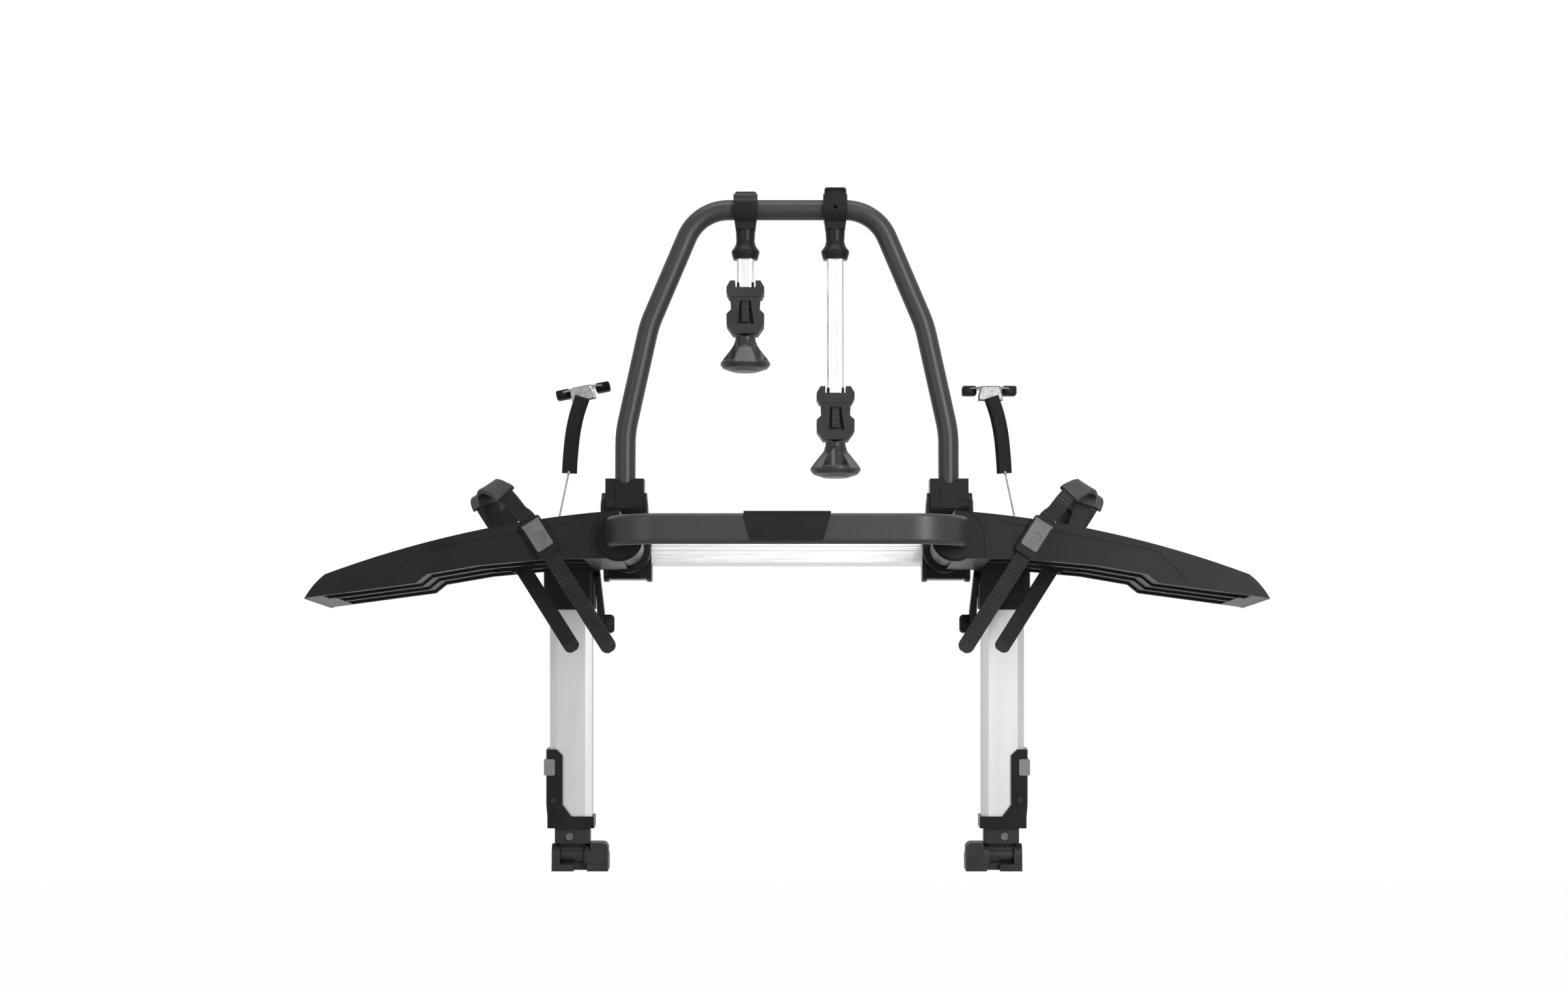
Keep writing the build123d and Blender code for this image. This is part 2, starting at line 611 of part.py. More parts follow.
def neck_block():
    """Block under the inner tube with the foot's hinge barrel, and beside it its bolt and the foot pin."""
    half = NECK_DEPTH / 2
    plan = Pos(NECK_X, 0) * RectangleRounded(NECK_WIDTH, NECK_DEPTH, LEG_BEVEL_DEPTH)
    neck = along_z(plan, NECK_BOTTOM, NECK_TOP)
    web = WEB_DEPTH / 2
    neck += block(BARREL_INNER_X, BARREL_OUTER_X, -web, web, FOOT_PIVOT_Z, NECK_BOTTOM + OVERRUN)
    neck += rod_x(BARREL_R, BARREL_INNER_X, BARREL_OUTER_X, 0, FOOT_PIVOT_Z)
    middle = (BARREL_INNER_X + BARREL_OUTER_X) / 2
    first = middle - WEB_SLOT_PITCH * (WEB_SLOTS - 1) / 2
    for index in range(WEB_SLOTS):
        x = first + index * WEB_SLOT_PITCH
        neck -= block(
            x - WEB_SLOT_WIDTH / 2, x + WEB_SLOT_WIDTH / 2, -half, -web / 2,
            NECK_BOTTOM - WEB_SLOT_HEIGHT, NECK_BOTTOM,
        )
    neck -= rod_x(FOOT_PIN_R, BARREL_INNER_X - OVERRUN, BARREL_OUTER_X + OVERRUN, 0, FOOT_PIVOT_Z)
    shank_end = NECK_BOLT_SHANK - half
    bolt_hole_end = shank_end + FIT_GAP
    neck -= rod_y(NECK_BOLT_SHANK_R + FIT_GAP, -half - OVERRUN, bolt_hole_end, NECK_BOLT_X, NECK_BOLT_Z)
    bolt = rod_y(NECK_BOLT_SHANK_R, -half, shank_end, NECK_BOLT_X, NECK_BOLT_Z)
    bolt += rod_y(NECK_BOLT_R, -half - NECK_BOLT_HEAD, -half, NECK_BOLT_X, NECK_BOLT_Z)
    socket_floor = -half - NECK_BOLT_HEAD / 2
    bolt -= rod_y(NECK_BOLT_SHANK_R, -half - NECK_BOLT_HEAD - OVERRUN, socket_floor, NECK_BOLT_X, NECK_BOLT_Z)
    pin = rod_x(FOOT_PIN_R, FOOT_INNER_X + FLANGE_CORNER, FOOT_OUTER_X - MOVE_GAP, 0, FOOT_PIVOT_Z)
    return lean(Compound([neck, bolt, pin]))


def foot():
    """Foot with two cheeks on the pin, a notched toe and a lip that hooks the hatch's lower edge."""
    shape = block(FOOT_INNER_X, FOOT_OUTER_X, FOOT_FRONT_Y, FOOT_BACK_Y, 0, FOOT_SOLE)
    lip_front = FOOT_BACK_Y - HOOK_LIP_DEPTH
    shape += block(FOOT_INNER_X, FOOT_OUTER_X, lip_front, FOOT_BACK_Y, 0, HOOK_LIP_HEIGHT)
    cheek = Pos(0, FOOT_PIVOT_Z) * Circle(CHEEK_R)
    cheek += Pos(0, FOOT_PIVOT_Z / 2) * Rectangle(2 * CHEEK_R, FOOT_PIVOT_Z)
    flange = Pos(0, CHEEK_TOP / 2) * Rectangle(2 * CHEEK_R, CHEEK_TOP)
    shape += along_x(cheek, BARREL_OUTER_X + MOVE_GAP, FOOT_OUTER_X)
    inner_end = BARREL_INNER_X - MOVE_GAP
    flange_end = NECK_X - NECK_WIDTH / 2 - MOVE_GAP
    inner = along_x(flange, FOOT_INNER_X, flange_end)
    inner = fillet(inner.edges().filter_by(Axis.Y).group_by(Axis.X)[0].group_by(Axis.Z)[-1], FLANGE_CORNER)
    shape += inner + along_x(cheek, flange_end - OVERRUN, inner_end)
    shape -= block(
        FOOT_NOTCH_INNER_X, FOOT_NOTCH_OUTER_X, FOOT_FRONT_Y - OVERRUN, FOOT_FRONT_Y + FOOT_NOTCH_DEPTH,
        -OVERRUN, FOOT_SOLE + OVERRUN,
    )
    pin_low = FOOT_INNER_X + FLANGE_CORNER - MOVE_GAP
    shape -= rod_x(FOOT_PIN_R + RUN_GAP, pin_low, FOOT_OUTER_X + OVERRUN, 0, FOOT_PIVOT_Z)
    shape -= block(
        inner_end, BARREL_OUTER_X + MOVE_GAP, -BARREL_R - MOVE_GAP, BARREL_R + MOVE_GAP,
        FOOT_PIVOT_Z - BARREL_R - MOVE_GAP, FOOT_SOLE + OVERRUN,
    )
    return lean(shape)


def support_arm():
    """Tapered strut on the housing's inner side, thicker across at its tip."""
    root = Pos(SUPPORT_PIVOT_Y, SUPPORT_PIVOT_Z) * Circle(SUPPORT_ROOT_R)
    tip = Pos(SUPPORT_TIP_Y, SUPPORT_TIP_Z) * Circle(SUPPORT_TIP_R)
    side_view = make_hull(root.edges() + tip.edges())
    bar = along_x(side_view, SUPPORT_INNER_X, SUPPORT_OUTER_X)
    root_top = SUPPORT_PIVOT_Z + SUPPORT_ROOT_R
    tip_low = SUPPORT_TIP_Z - SUPPORT_TIP_R
    wedge = (
        (SUPPORT_OUTER_X, root_top), (SUPPORT_OUTER_X - SUPPORT_THIN, root_top),
        (SUPPORT_INNER_X, SUPPORT_TIP_Z + SUPPORT_TIP_R), (SUPPORT_INNER_X, tip_low),
        (SUPPORT_OUTER_X, tip_low),
    )
    bar &= along_y(outline(wedge), SUPPORT_PIVOT_Y - SUPPORT_ROOT_R, SUPPORT_TIP_Y + SUPPORT_TIP_R)
    pin_end = SUPPORT_OUTER_X + SUPPORT_PIN_LENGTH
    return bar + rod_x(SUPPORT_PIN_R, SUPPORT_OUTER_X - OVERRUN, pin_end, SUPPORT_PIVOT_Y, SUPPORT_PIVOT_Z)


def support_pad():
    """Rubber pad that the tip of the support arm sits in."""
    middle_x = PAD_INNER_X + PAD_WIDTH / 2
    middle_z = SUPPORT_TIP_Z + SUPPORT_TIP_R / 2 - PAD_HEIGHT / 2
    face = Pos(middle_x, middle_z) * RectangleRounded(PAD_WIDTH, PAD_HEIGHT, PAD_CORNER)
    pad = along_y(face, SUPPORT_TIP_Y, SUPPORT_TIP_Y + PAD_DEPTH)
    return fillet(pad.edges().group_by(Axis.Y)[-1], PAD_CORNER / 2) - support_arm()


def hinge_housing():
    """Casting clamped on the crossbar: a drum for the wing, ears for the loop and a seat for the band."""
    high = BLOCK_TOP - BLOCK_BOTTOM
    depth = BLOCK_BACK_Y - BLOCK_FRONT_Y
    middle_y = (BLOCK_FRONT_Y + BLOCK_BACK_Y) / 2
    cheek = Pos(middle_y, BLOCK_BOTTOM + high / 2) * RectangleRounded(depth, high, BLOCK_CORNER)
    cheek += Pos(middle_y, BLOCK_TOP - high / 4) * Rectangle(depth, high / 2)
    core = Pos(middle_y, BLOCK_BOTTOM + BLOCK_RELIEF + high / 2 - BLOCK_RELIEF / 2) * Rectangle(
        depth - 2 * BLOCK_RELIEF, high - BLOCK_RELIEF
    )
    shape = along_x(core, BLOCK_INNER_X, BLOCK_OUTER_X)
    for low in (BLOCK_INNER_X, BLOCK_OUTER_X - CHEEK_PLATE):
        shape += along_x(cheek, low, low + CHEEK_PLATE)
    inside = BLOCK_OUTER_X - BLOCK_INNER_X - 2 * CHEEK_PLATE
    for start, end in BLOCK_SLOTS_share:
        low = BLOCK_OUTER_X - CHEEK_PLATE - end * inside
        high_x = BLOCK_OUTER_X - CHEEK_PLATE - start * inside
        shape -= block(
            low, high_x, BLOCK_FRONT_Y, BLOCK_FRONT_Y + BLOCK_SLOT_DEPTH,
            BLOCK_BOTTOM, BLOCK_BOTTOM + BLOCK_SLOT_HEIGHT,
        )
    shape += rod_y(DRUM_R, DRUM_FRONT_Y, middle_y, WING_AXIS_X, WING_AXIS_Z)
    shape += rod_y(FLANGE_R, DRUM_FRONT_Y, DRUM_FRONT_Y + FLANGE_DEPTH, WING_AXIS_X, WING_AXIS_Z)
    seat_x = BAND_HALF_WIDTH - BAND_THICK / 2
    seat = Pos(seat_x, BAND_Z) * RectangleRounded(BAND_THICK + OVERRUN, BAND_HEIGHT + OVERRUN, BAND_EDGE_R)
    shape += along_y(seat, DRUM_FRONT_Y, DRUM_FRONT_Y + FLANGE_DEPTH)
    for ear in ears():
        shape += ear
    hole = Rectangle(BAR_DEPTH + 2 * FIT_GAP, BAR_HEIGHT + 2 * FIT_GAP)
    return shape - along_x(Pos(BAR_Y, BAR_Z) * hole, BLOCK_INNER_X - OVERRUN, HOUSING_INNER_X)


def ears():
    """The two plates that hold a loop socket; the inner one thickens towards its root."""
    disc = Pos(BAR_Y, LOOP_PIVOT_Z) * Circle(EAR_R)
    root = Pos(BAR_Y, BLOCK_TOP - EAR_ROOT_THICK) * Rectangle(2 * EAR_R, EAR_ROOT_THICK)
    side_view = make_hull(disc.edges() + root.edges())
    half = SOCKET_WIDTH / 2 + MOVE_GAP
    top = LOOP_PIVOT_Z + EAR_R
    low = BLOCK_TOP - EAR_ROOT_THICK
    inner_face = LOOP_HALF_BASE - half
    outer_face = LOOP_HALF_BASE + half
    root_x = inner_face - EAR_ROOT_THICK
    taper = ((inner_face, low), (inner_face, top), (inner_face - EAR_TOP_THICK, top), (root_x, low))
    inner = along_x(side_view, root_x, inner_face)
    inner &= along_y(outline(taper), BAR_Y - EAR_R, BAR_Y + EAR_R)
    outer = along_x(side_view, outer_face, outer_face + EAR_OUTER_THICK)
    hole = rod_x(LOOP_PIN_R, root_x, outer_face + EAR_OUTER_THICK, BAR_Y, LOOP_PIVOT_Z)
    return inner - hole, outer - hole


def loop_pin():
    """Pin through the ears and the loop socket, headed on its outer side."""
    half = SOCKET_WIDTH / 2 + MOVE_GAP
    inner_end = LOOP_HALF_BASE - half - EAR_TOP_THICK
    outer_end = LOOP_HALF_BASE + half + EAR_OUTER_THICK
    pin = rod_x(LOOP_PIN_R, inner_end, outer_end, BAR_Y, LOOP_PIVOT_Z)
    return pin + rod_x(PIN_HEAD_R, outer_end, outer_end + PIN_HEAD_THICK, BAR_Y, LOOP_PIVOT_Z)


def loop_socket():
    """Casting that grips the loop's end and turns on the pin, with a flat latch face in front."""
    half = SOCKET_WIDTH / 2
    side_view = Pos(BAR_Y, LOOP_PIVOT_Z) * Circle(SOCKET_R)
    rise = SOCKET_TOP - LOOP_PIVOT_Z
    side_view += Pos(BAR_Y, LOOP_PIVOT_Z + rise / 2) * Rectangle(SOCKET_DEPTH, rise)
    shape = along_x(side_view, LOOP_HALF_BASE - half, LOOP_HALF_BASE + half)
    shape += block(
        LOOP_HALF_BASE - LATCH_WIDTH / 2, LOOP_HALF_BASE + LATCH_WIDTH / 2,
        LATCH_FRONT_Y, BAR_Y, LATCH_BOTTOM, LATCH_TOP,
    )
    saddle_r = LOOP_TUBE_R + SOCKET_SADDLE / 2
    saddle_z = SOCKET_TOP + saddle_r - SOCKET_SADDLE
    shape -= rod_y(saddle_r, BAR_Y - SOCKET_DEPTH, BAR_Y + SOCKET_DEPTH, LOOP_HALF_BASE, saddle_z)
    bore = Pos(LOOP_HALF_BASE, BAR_Y) * Circle(LOOP_TUBE_R)
    shape -= along_z(bore, LOOP_BOTTOM, SOCKET_TOP + OVERRUN)
    return shape - rod_x(
        LOOP_PIN_R + RUN_GAP, LOOP_HALF_BASE - half - OVERRUN, LOOP_HALF_BASE + half + OVERRUN,
        BAR_Y, LOOP_PIVOT_Z,
    )


def frame_loop():
    """Bent steel tube: upright at its ends, two slight bends and a round corner on each side."""
    rise = LOOP_TOP_Z - LOOP_BOTTOM
    shares = ((1, 0), (1, LOOP_KNEE_share), LOOP_SHOULDER_share, (LOOP_CORNER_share, 1))
    right = [(across * LOOP_HALF_BASE, LOOP_BOTTOM + up * rise) for across, up in shares]
    points = [(x, BAR_Y, z) for x, z in right]
    points += [(-x, BAR_Y, z) for x, z in reversed(right)]
    bends = (LOOP_KNEE_BEND, LOOP_KNEE_BEND, LOOP_CORNER_BEND)
    path = FilletPolyline(*points, radius=bends + tuple(reversed(bends)))
    start = Plane(origin=points[0], z_dir=(0, 0, 1))
    section = Circle(LOOP_TUBE_R) - Circle(LOOP_TUBE_R - LOOP_WALL)
    return sweep(start * section, path=path)


def band_section(inset):
    """Rounded outline of the band's tube, at the front of its run."""
    radius = BAND_EDGE_R - inset
    return RectangleRounded(BAND_THICK - 2 * inset, BAND_HEIGHT - 2 * inset, radius)


def rear_band():
    """Flat oval tube, bent back at each end to meet the hinge housings."""
    x = BAND_HALF_WIDTH - BAND_THICK / 2
    y = BAND_FRONT_Y + BAND_THICK / 2
    points = ((x, DRUM_FRONT_Y, BAND_Z), (x, y, BAND_Z), (-x, y, BAND_Z), (-x, DRUM_FRONT_Y, BAND_Z))
    path = FilletPolyline(*points, radius=BAND_BEND)
    start = Plane(origin=points[0], x_dir=(1, 0, 0), z_dir=(0, -1, 0))
    return sweep(start * (band_section(0) - band_section(BAND_WALL)), path=path)


def badge_plate():
    """Bare plate on the band, with a raised border and a lip over the band's top."""
    top = BAND_Z + BAND_HEIGHT / 2 + PLATE_TOP_PROUD
    bottom = BAND_Z - BAND_HEIGHT / 2 + PLATE_BOTTOM_INSET
    corners = (
        (-PLATE_TOP_HALF, top), (PLATE_TOP_HALF, top), (PLATE_BOTTOM_HALF, bottom),
        (-PLATE_BOTTOM_HALF, bottom),
    )
    face = outline(corners, PLATE_CORNER / 2)
    plate = along_y(face, BAND_FRONT_Y - PLATE_THICK, BAND_FRONT_Y)
    inner = offset(face, -PLATE_BORDER)
    front = BAND_FRONT_Y - PLATE_THICK
    plate -= along_y(inner, front - OVERRUN, front + PLATE_RECESS)
    low = BAND_Z + BAND_HEIGHT / 2
    half = PLATE_TOP_HALF - PLATE_CORNER
    back = BAND_FRONT_Y + PLATE_LIP
    return plate + block(-half, half, BAND_FRONT_Y - OVERRUN, back, low, low + PLATE_LIP_THICK)


def wing_point(share, lift=0.0):
    """A point of the wing's side view from its shares of reach and drop."""
    along, down = share
    return (WING_AXIS_X + along * WING_REACH, WING_ROOT_TOP - down * WING_DROP + lift)


def wing_face(floor=0.0):
    """Side view of the wing: an arched top, a pointed nose and a stepped underside raised by floor."""
    root_top = wing_point((0, 0))
    arch, shoulder = (wing_point(share) for share in WING_ARCH_share)
    nose, tip = (wing_point(share) for share in WING_NOSE_share)
    under = [wing_point(share, floor) for share in WING_UNDER_share]
    root = (WING_AXIS_X, WING_ROOT_BOTTOM + floor)
    over = ThreePointArc(root_top, arch, shoulder)
    return closed(over, ThreePointArc(shoulder, nose, tip), Polyline(tip, *under, root, root_top))


def wing():
    """Tray for two wheels: two channels with a ribbed gutter between them, and hinge lugs at its root."""
    shape = along_y(wing_face(), WING_NEAR_Y, WING_FAR_Y)
    start, end = (WING_AXIS_X + share * WING_REACH for share in CHANNEL_share)
    trough = along_y(wing_face(WING_FLOOR), WING_NEAR_Y, WING_FAR_Y)
    trough += Pos(0, 0, WEDGE_HEIGHT) * trough
    top = WING_ROOT_TOP + WING_FLOOR
    for low in (WING_NEAR_Y + WING_SIDE_WALL, FAR_WALL_Y + WING_SIDE_WALL):
        shape -= trough & block(start, end, low, low + CHANNEL_WIDTH, WING_TIP_Z, top)
    places = [WING_AXIS_X + share * WING_REACH for share in GUTTER_share]
    gutter_start = NEAR_LANE_END + WING_SIDE_WALL
    for low, high in zip(places, places[1:]):
        shape -= trough & block(low, high - GUTTER_RIB, gutter_start, FAR_WALL_Y, WING_TIP_Z, top)
    slot_end = BUCKLE_X + STRAP_FAR_SHIFT + STRAP_SLOT_AHEAD
    shape -= block(
        slot_end - STRAP_SLOT_LENGTH, slot_end, FAR_WALL_Y - STRAP_SLOT_WIDTH, FAR_WALL_Y,
        WING_TIP_Z - OVERRUN, top,
    )
    shape = cut_rails(shape)
    shape = cut_grooves(shape)
    slot_x = WING_TIP_X - NOSE_SLOT_FROM_TIP - NOSE_SLOT_LENGTH
    slot_end = slot_x + NOSE_SLOT_LENGTH
    slot = block(slot_x, slot_end, 0, NOSE_SLOT_WIDTH, WING_TIP_Z - OVERRUN, WING_ROOT_TOP)
    shape -= Pos(0, WING_NEAR_Y + 2 * WING_SIDE_WALL, 0) * slot
    for low in (WING_NEAR_Y, WING_FAR_Y - WING_LUG_DEPTH):
        shape += rod_y(WING_LUG_R, low, low + WING_LUG_DEPTH, WING_AXIS_X, WING_AXIS_Z)
    near_end = WING_NEAR_Y + WING_LUG_DEPTH
    far_end = WING_FAR_Y - WING_LUG_DEPTH
    shape -= rod_y(DRUM_R + MOVE_GAP, near_end, far_end, WING_AXIS_X, WING_AXIS_Z)
    bore_r = DRUM_R + RUN_GAP
    return shape - rod_y(bore_r, WING_NEAR_Y - OVERRUN, WING_FAR_Y + OVERRUN, WING_AXIS_X, WING_AXIS_Z)


def cut_rails(shape):
    """Sink long recesses into the underside, which leaves rails between them."""
    under = along_y(wing_face(), WING_NEAR_Y, WING_FAR_Y)
    skin = under - Pos(0, 0, RAIL_DEPTH) * under
    pitch = (WING_FAR_Y - WING_NEAR_Y - RAIL_WIDTH) / RAIL_LANES
    start, end = (WING_AXIS_X + share * WING_REACH for share in CHANNEL_share)
    for index in range(RAIL_LANES):
        low = WING_NEAR_Y + RAIL_WIDTH + index * pitch
        lane = block(start, end, low, low + pitch - RAIL_WIDTH, WING_TIP_Z - OVERRUN, WING_AXIS_Z)
        shape -= skin & lane
    return shape


def cut_grooves(shape):
    """Press the styling groove and the hinge seam into both side walls."""
    line = Polyline(*[wing_point(share) for share in WING_GROOVE_share])
    seam_x = WING_AXIS_X + SEAM_R
    sweep_angle = degrees(atan2(WING_ROOT_TOP - WING_AXIS_Z, SEAM_R / 4))
    seam = [
        Line((seam_x, WING_ROOT_BOTTOM - OVERRUN), (seam_x, WING_AXIS_Z)),
        CenterArc((WING_AXIS_X, WING_AXIS_Z), SEAM_R, 0, sweep_angle),
    ]
    for depth_low in (WING_NEAR_Y - OVERRUN, WING_FAR_Y - WING_GROOVE_DEPTH):
        high = depth_low + OVERRUN + WING_GROOVE_DEPTH
        shape -= along_y(trace(line, line_width=WING_GROOVE_WIDTH), depth_low, high)
        shape -= along_y(trace(Wire(seam), line_width=SEAM_WIDTH), depth_low, high)
    return shape


def tilted(shape):
    """Turn a piece from the strap's upright frame to its slant on the wing's wall."""
    return Pos(BUCKLE_X, 0, BUCKLE_Z) * Rot(0, STRAP_TILT, 0) * shape


def strap_layer():
    """The two faces of the near strap's outer run, in Y."""
    outer = WING_NEAR_Y - STRAP_WALL_GAP - STRAP_THICK
    return outer, outer + STRAP_THICK


def strap_stations(shares):
    """Places, headings and width directions of the strap, from the buckle's top to the channel's floor."""
    outer_y, inner_y = strap_layer()
    buckle = Vector(BUCKLE_X, (outer_y + inner_y) / 2, BUCKLE_Z)
    slant = radians(STRAP_TILT)
    up = Vector(sin(slant), 0, cos(slant))
    places = [buckle, buckle + up * STRAP_RISE]
    slants = [slant, slant]
    for x, y, z, turn in shares:
        places.append(buckle + Vector(x, y, z) * ARCH_R)
        slants.append(slant * turn)
    stations = []
    for index in range(1, len(places) - 1):
        heading = up if index == 1 else places[index + 1] - places[index - 1]
        stations.append((places[index], heading, slants[index]))
    last_place = places[-1]
    stations.append((last_place, last_place - places[-2], slants[-1]))
    return stations


def strap_loft(stations, grow_side, grow_face):
    """Flat strap through the stations, grown at its sides and at its faces."""
    sections = []
    for place, heading, slant in stations:
        heading = heading.normalized()
        width = Vector(cos(slant), 0, -sin(slant))
        width = width - heading * width.dot(heading)
        plane = Plane(origin=place, x_dir=width, z_dir=heading)
        sections.append(plane * Rectangle(STRAP_WIDTH + 2 * grow_side, STRAP_THICK + 2 * grow_face))
    shape = Part()
    for section, following in zip(sections, sections[1:]):
        shape += loft([section, following], ruled=True)
    return shape


def under_floor():
    """Everything that lies below the floors of the channels."""
    places = [wing_point(share, WING_FLOOR) for share in WING_UNDER_share]
    places = sorted(places + [(WING_AXIS_X, WING_ROOT_BOTTOM + WING_FLOOR)])
    low = WING_TIP_Z - WEDGE_HEIGHT
    points = [(places[0][0], low)] + places + [(places[-1][0], low)]
    return along_y(outline(points), WING_NEAR_Y, WING_FAR_Y)


def wheel_strap(shares, tail, shift, drop):
    """Strap with a long tail, led up through the buckle, over the rim and down to the channel's floor."""
    half = STRAP_WIDTH / 2
    outer_y, inner_y = strap_layer()
    run = tilted(block(-half, half, outer_y, inner_y, -tail, STRAP_RISE))
    run = fillet(run.edges().filter_by(Axis.Y).group_by(Axis.Z)[0], half / 2)
    stations = strap_stations(shares)
    place, heading, slant = stations[-1]
    stations.append((place + heading.normalized() * 2 * ARCH_R, heading, slant))
    return run + (strap_loft(stations, 0, 0) - Pos(-shift, 0, drop) * under_floor())


def rim_cap(shares):
    """Soft cap round the strap where it passes over the rim."""
    stations = strap_stations(shares)
    shell = strap_loft(stations[2:-2], CAP_SIDE, CAP_SKIN)
    return shell - strap_loft(stations[1:-1], FIT_GAP, FIT_GAP)


def buckle_frame():
    """Buckle on the wing's wall, with a way through for the strap and a seat for the lever."""
    half = BUCKLE_WIDTH / 2
    face = RectangleRounded(BUCKLE_WIDTH, BUCKLE_LENGTH, BUCKLE_WIDTH / 8)
    front = WING_NEAR_Y - BUCKLE_DEPTH
    shape = along_y(face, front, WING_NEAR_Y)
    outer_y, inner_y = strap_layer()
    way = STRAP_WIDTH / 2 + FIT_GAP
    shape -= block(-way, way, outer_y - FIT_GAP, inner_y + FIT_GAP, -BUCKLE_LENGTH, BUCKLE_LENGTH)
    seat_half = LEVER_WIDTH / 2 + MOVE_GAP
    shape -= block(
        -seat_half, seat_half, front - OVERRUN, lever_back() + MOVE_GAP,
        lever_low() - MOVE_GAP, lever_top() + MOVE_GAP,
    )
    hinge_z = lever_top() - LEVER_THICK / 2
    hinge_y = lever_back() - LEVER_THICK / 2
    shape -= rod_x(LEVER_PIN_R + RUN_GAP, -half + OVERRUN / 2, half - OVERRUN / 2, hinge_y, hinge_z)
    return tilted(shape)


def lever_back():
    """Y of the lever's rear face."""
    return WING_NEAR_Y - BUCKLE_DEPTH + LEVER_THICK / 2


def lever_top():
    """Height of the lever's hinge end above the buckle's middle."""
    return BUCKLE_LENGTH / 2 - (BUCKLE_WIDTH - LEVER_WIDTH) * 2 / 3


def lever_low():
    """Height of the lever's free end."""
    return lever_top() - LEVER_LENGTH


def buckle_lever():
    """Flat release lever with a thumb mark, hinged at its upper end."""
    half = LEVER_WIDTH / 2
    plate = block(-half, half, lever_back() - LEVER_THICK, lever_back(), lever_low(), lever_top())
    plate = fillet(plate.edges().filter_by(Axis.Y).group_by(Axis.Z)[0], LEVER_WIDTH / 8)
    middle_z = (lever_low() + lever_top()) / 2
    front = lever_back() - LEVER_THICK
    plate -= rod_y(LEVER_THUMB_R, front - OVERRUN, front + LEVER_THUMB_DEPTH, 0, middle_z - LEVER_THUMB_R / 2)
    plate = fillet(plate.edges().filter_by(Axis.X).group_by(Axis.Z)[-1], LEVER_THICK / 2 - FIT_GAP)
    hinge_z = lever_top() - LEVER_THICK / 2
    hinge_y = lever_back() - LEVER_THICK / 2
    reach = BUCKLE_WIDTH / 2 - OVERRUN / 2 - MOVE_GAP
    return tilted(plate + rod_x(LEVER_PIN_R, -reach, reach, hinge_y, hinge_z))


def to_far(shape):
    """Move a near strap's piece to the far channel's wall."""
    return Pos(STRAP_FAR_SHIFT, FAR_WALL_Y - WING_NEAR_Y, -STRAP_FAR_DROP) * shape


def arm_clamp(facing):
    """Clamp on the loop's top tube; facing is 1 where its screws look forward."""
    ring = Circle(CLAMP_R)
    stem = Pos(0, -CLAMP_FOOT_DROP / 2) * Rectangle(CLAMP_FOOT_WIDTH, CLAMP_FOOT_DROP)
    side_view = ring + stem
    half = CLAMP_WIDTH / 2
    shape = along_x(side_view, -half, half)
    foot = CLAMP_FOOT_WIDTH / 2
    shield = (
        (-half, CLAMP_R), (half, CLAMP_R), (half, -CLAMP_R / 4), (foot, -CLAMP_FOOT_DROP),
        (-foot, -CLAMP_FOOT_DROP), (-half, -CLAMP_R / 4),
    )
    shape &= along_y(outline(shield), -CLAMP_R, CLAMP_R)
    slope = CLAMP_BLOCK_FRONT / 2
    lug_view = (
        (-CLAMP_BLOCK_FRONT, 0), (-CLAMP_BLOCK_FRONT, CLAMP_BLOCK_TOP), (-slope, CLAMP_BLOCK_TOP),
        (0, CLAMP_BLOCK_TOP - slope), (0, 0),
    )
    block_half = CLAMP_BLOCK_WIDTH / 2
    lug = along_x(outline(lug_view), -block_half, block_half)
    shape += fillet(lug.edges().filter_by(Axis.Y).group_by(Axis.Z)[-1], CLAMP_BLOCK_WIDTH / 8)
    recess_top = CLAMP_BLOCK_TOP - CLAMP_RECESS_DEPTH
    recess = SlotOverall(CLAMP_RECESS_WIDTH, CLAMP_RECESS_HEIGHT)
    recess = Pos(0, recess_top - CLAMP_RECESS_HEIGHT / 2) * recess
    shape -= along_y(recess, -CLAMP_BLOCK_FRONT - OVERRUN, -CLAMP_BLOCK_FRONT + CLAMP_RECESS_DEPTH)
    screw_z = recess_top - CLAMP_RECESS_HEIGHT / 2
    for side in (-1, 1):
        shape -= rod_y(CLAMP_SCREW_R, -CLAMP_BLOCK_FRONT - OVERRUN, 0, side * CLAMP_SCREW_HALF_PITCH, screw_z)
    shape -= rod_y(CLAMP_SCREW_R, -CLAMP_R - OVERRUN, -LOOP_TUBE_R, 0, 0)
    bore_half = CLAMP_BORE_WIDTH / 2
    shape -= rod_x(LOOP_TUBE_R + RUN_GAP, -bore_half, bore_half, 0, 0)
    for low, high in ((-half - OVERRUN, -bore_half), (bore_half, half + OVERRUN)):
        shape -= rod_x(LOOP_TUBE_R + CLAMP_RELIEF, low, high, 0, 0)
    spigot_top = MOVE_GAP + SPIGOT_RISE - CLAMP_FOOT_DROP
    shape -= along_z(Circle(SPIGOT_R + RUN_GAP), -CLAMP_FOOT_DROP - OVERRUN, spigot_top)
    return shape if facing > 0 else mirror(shape, about=Plane.XZ)


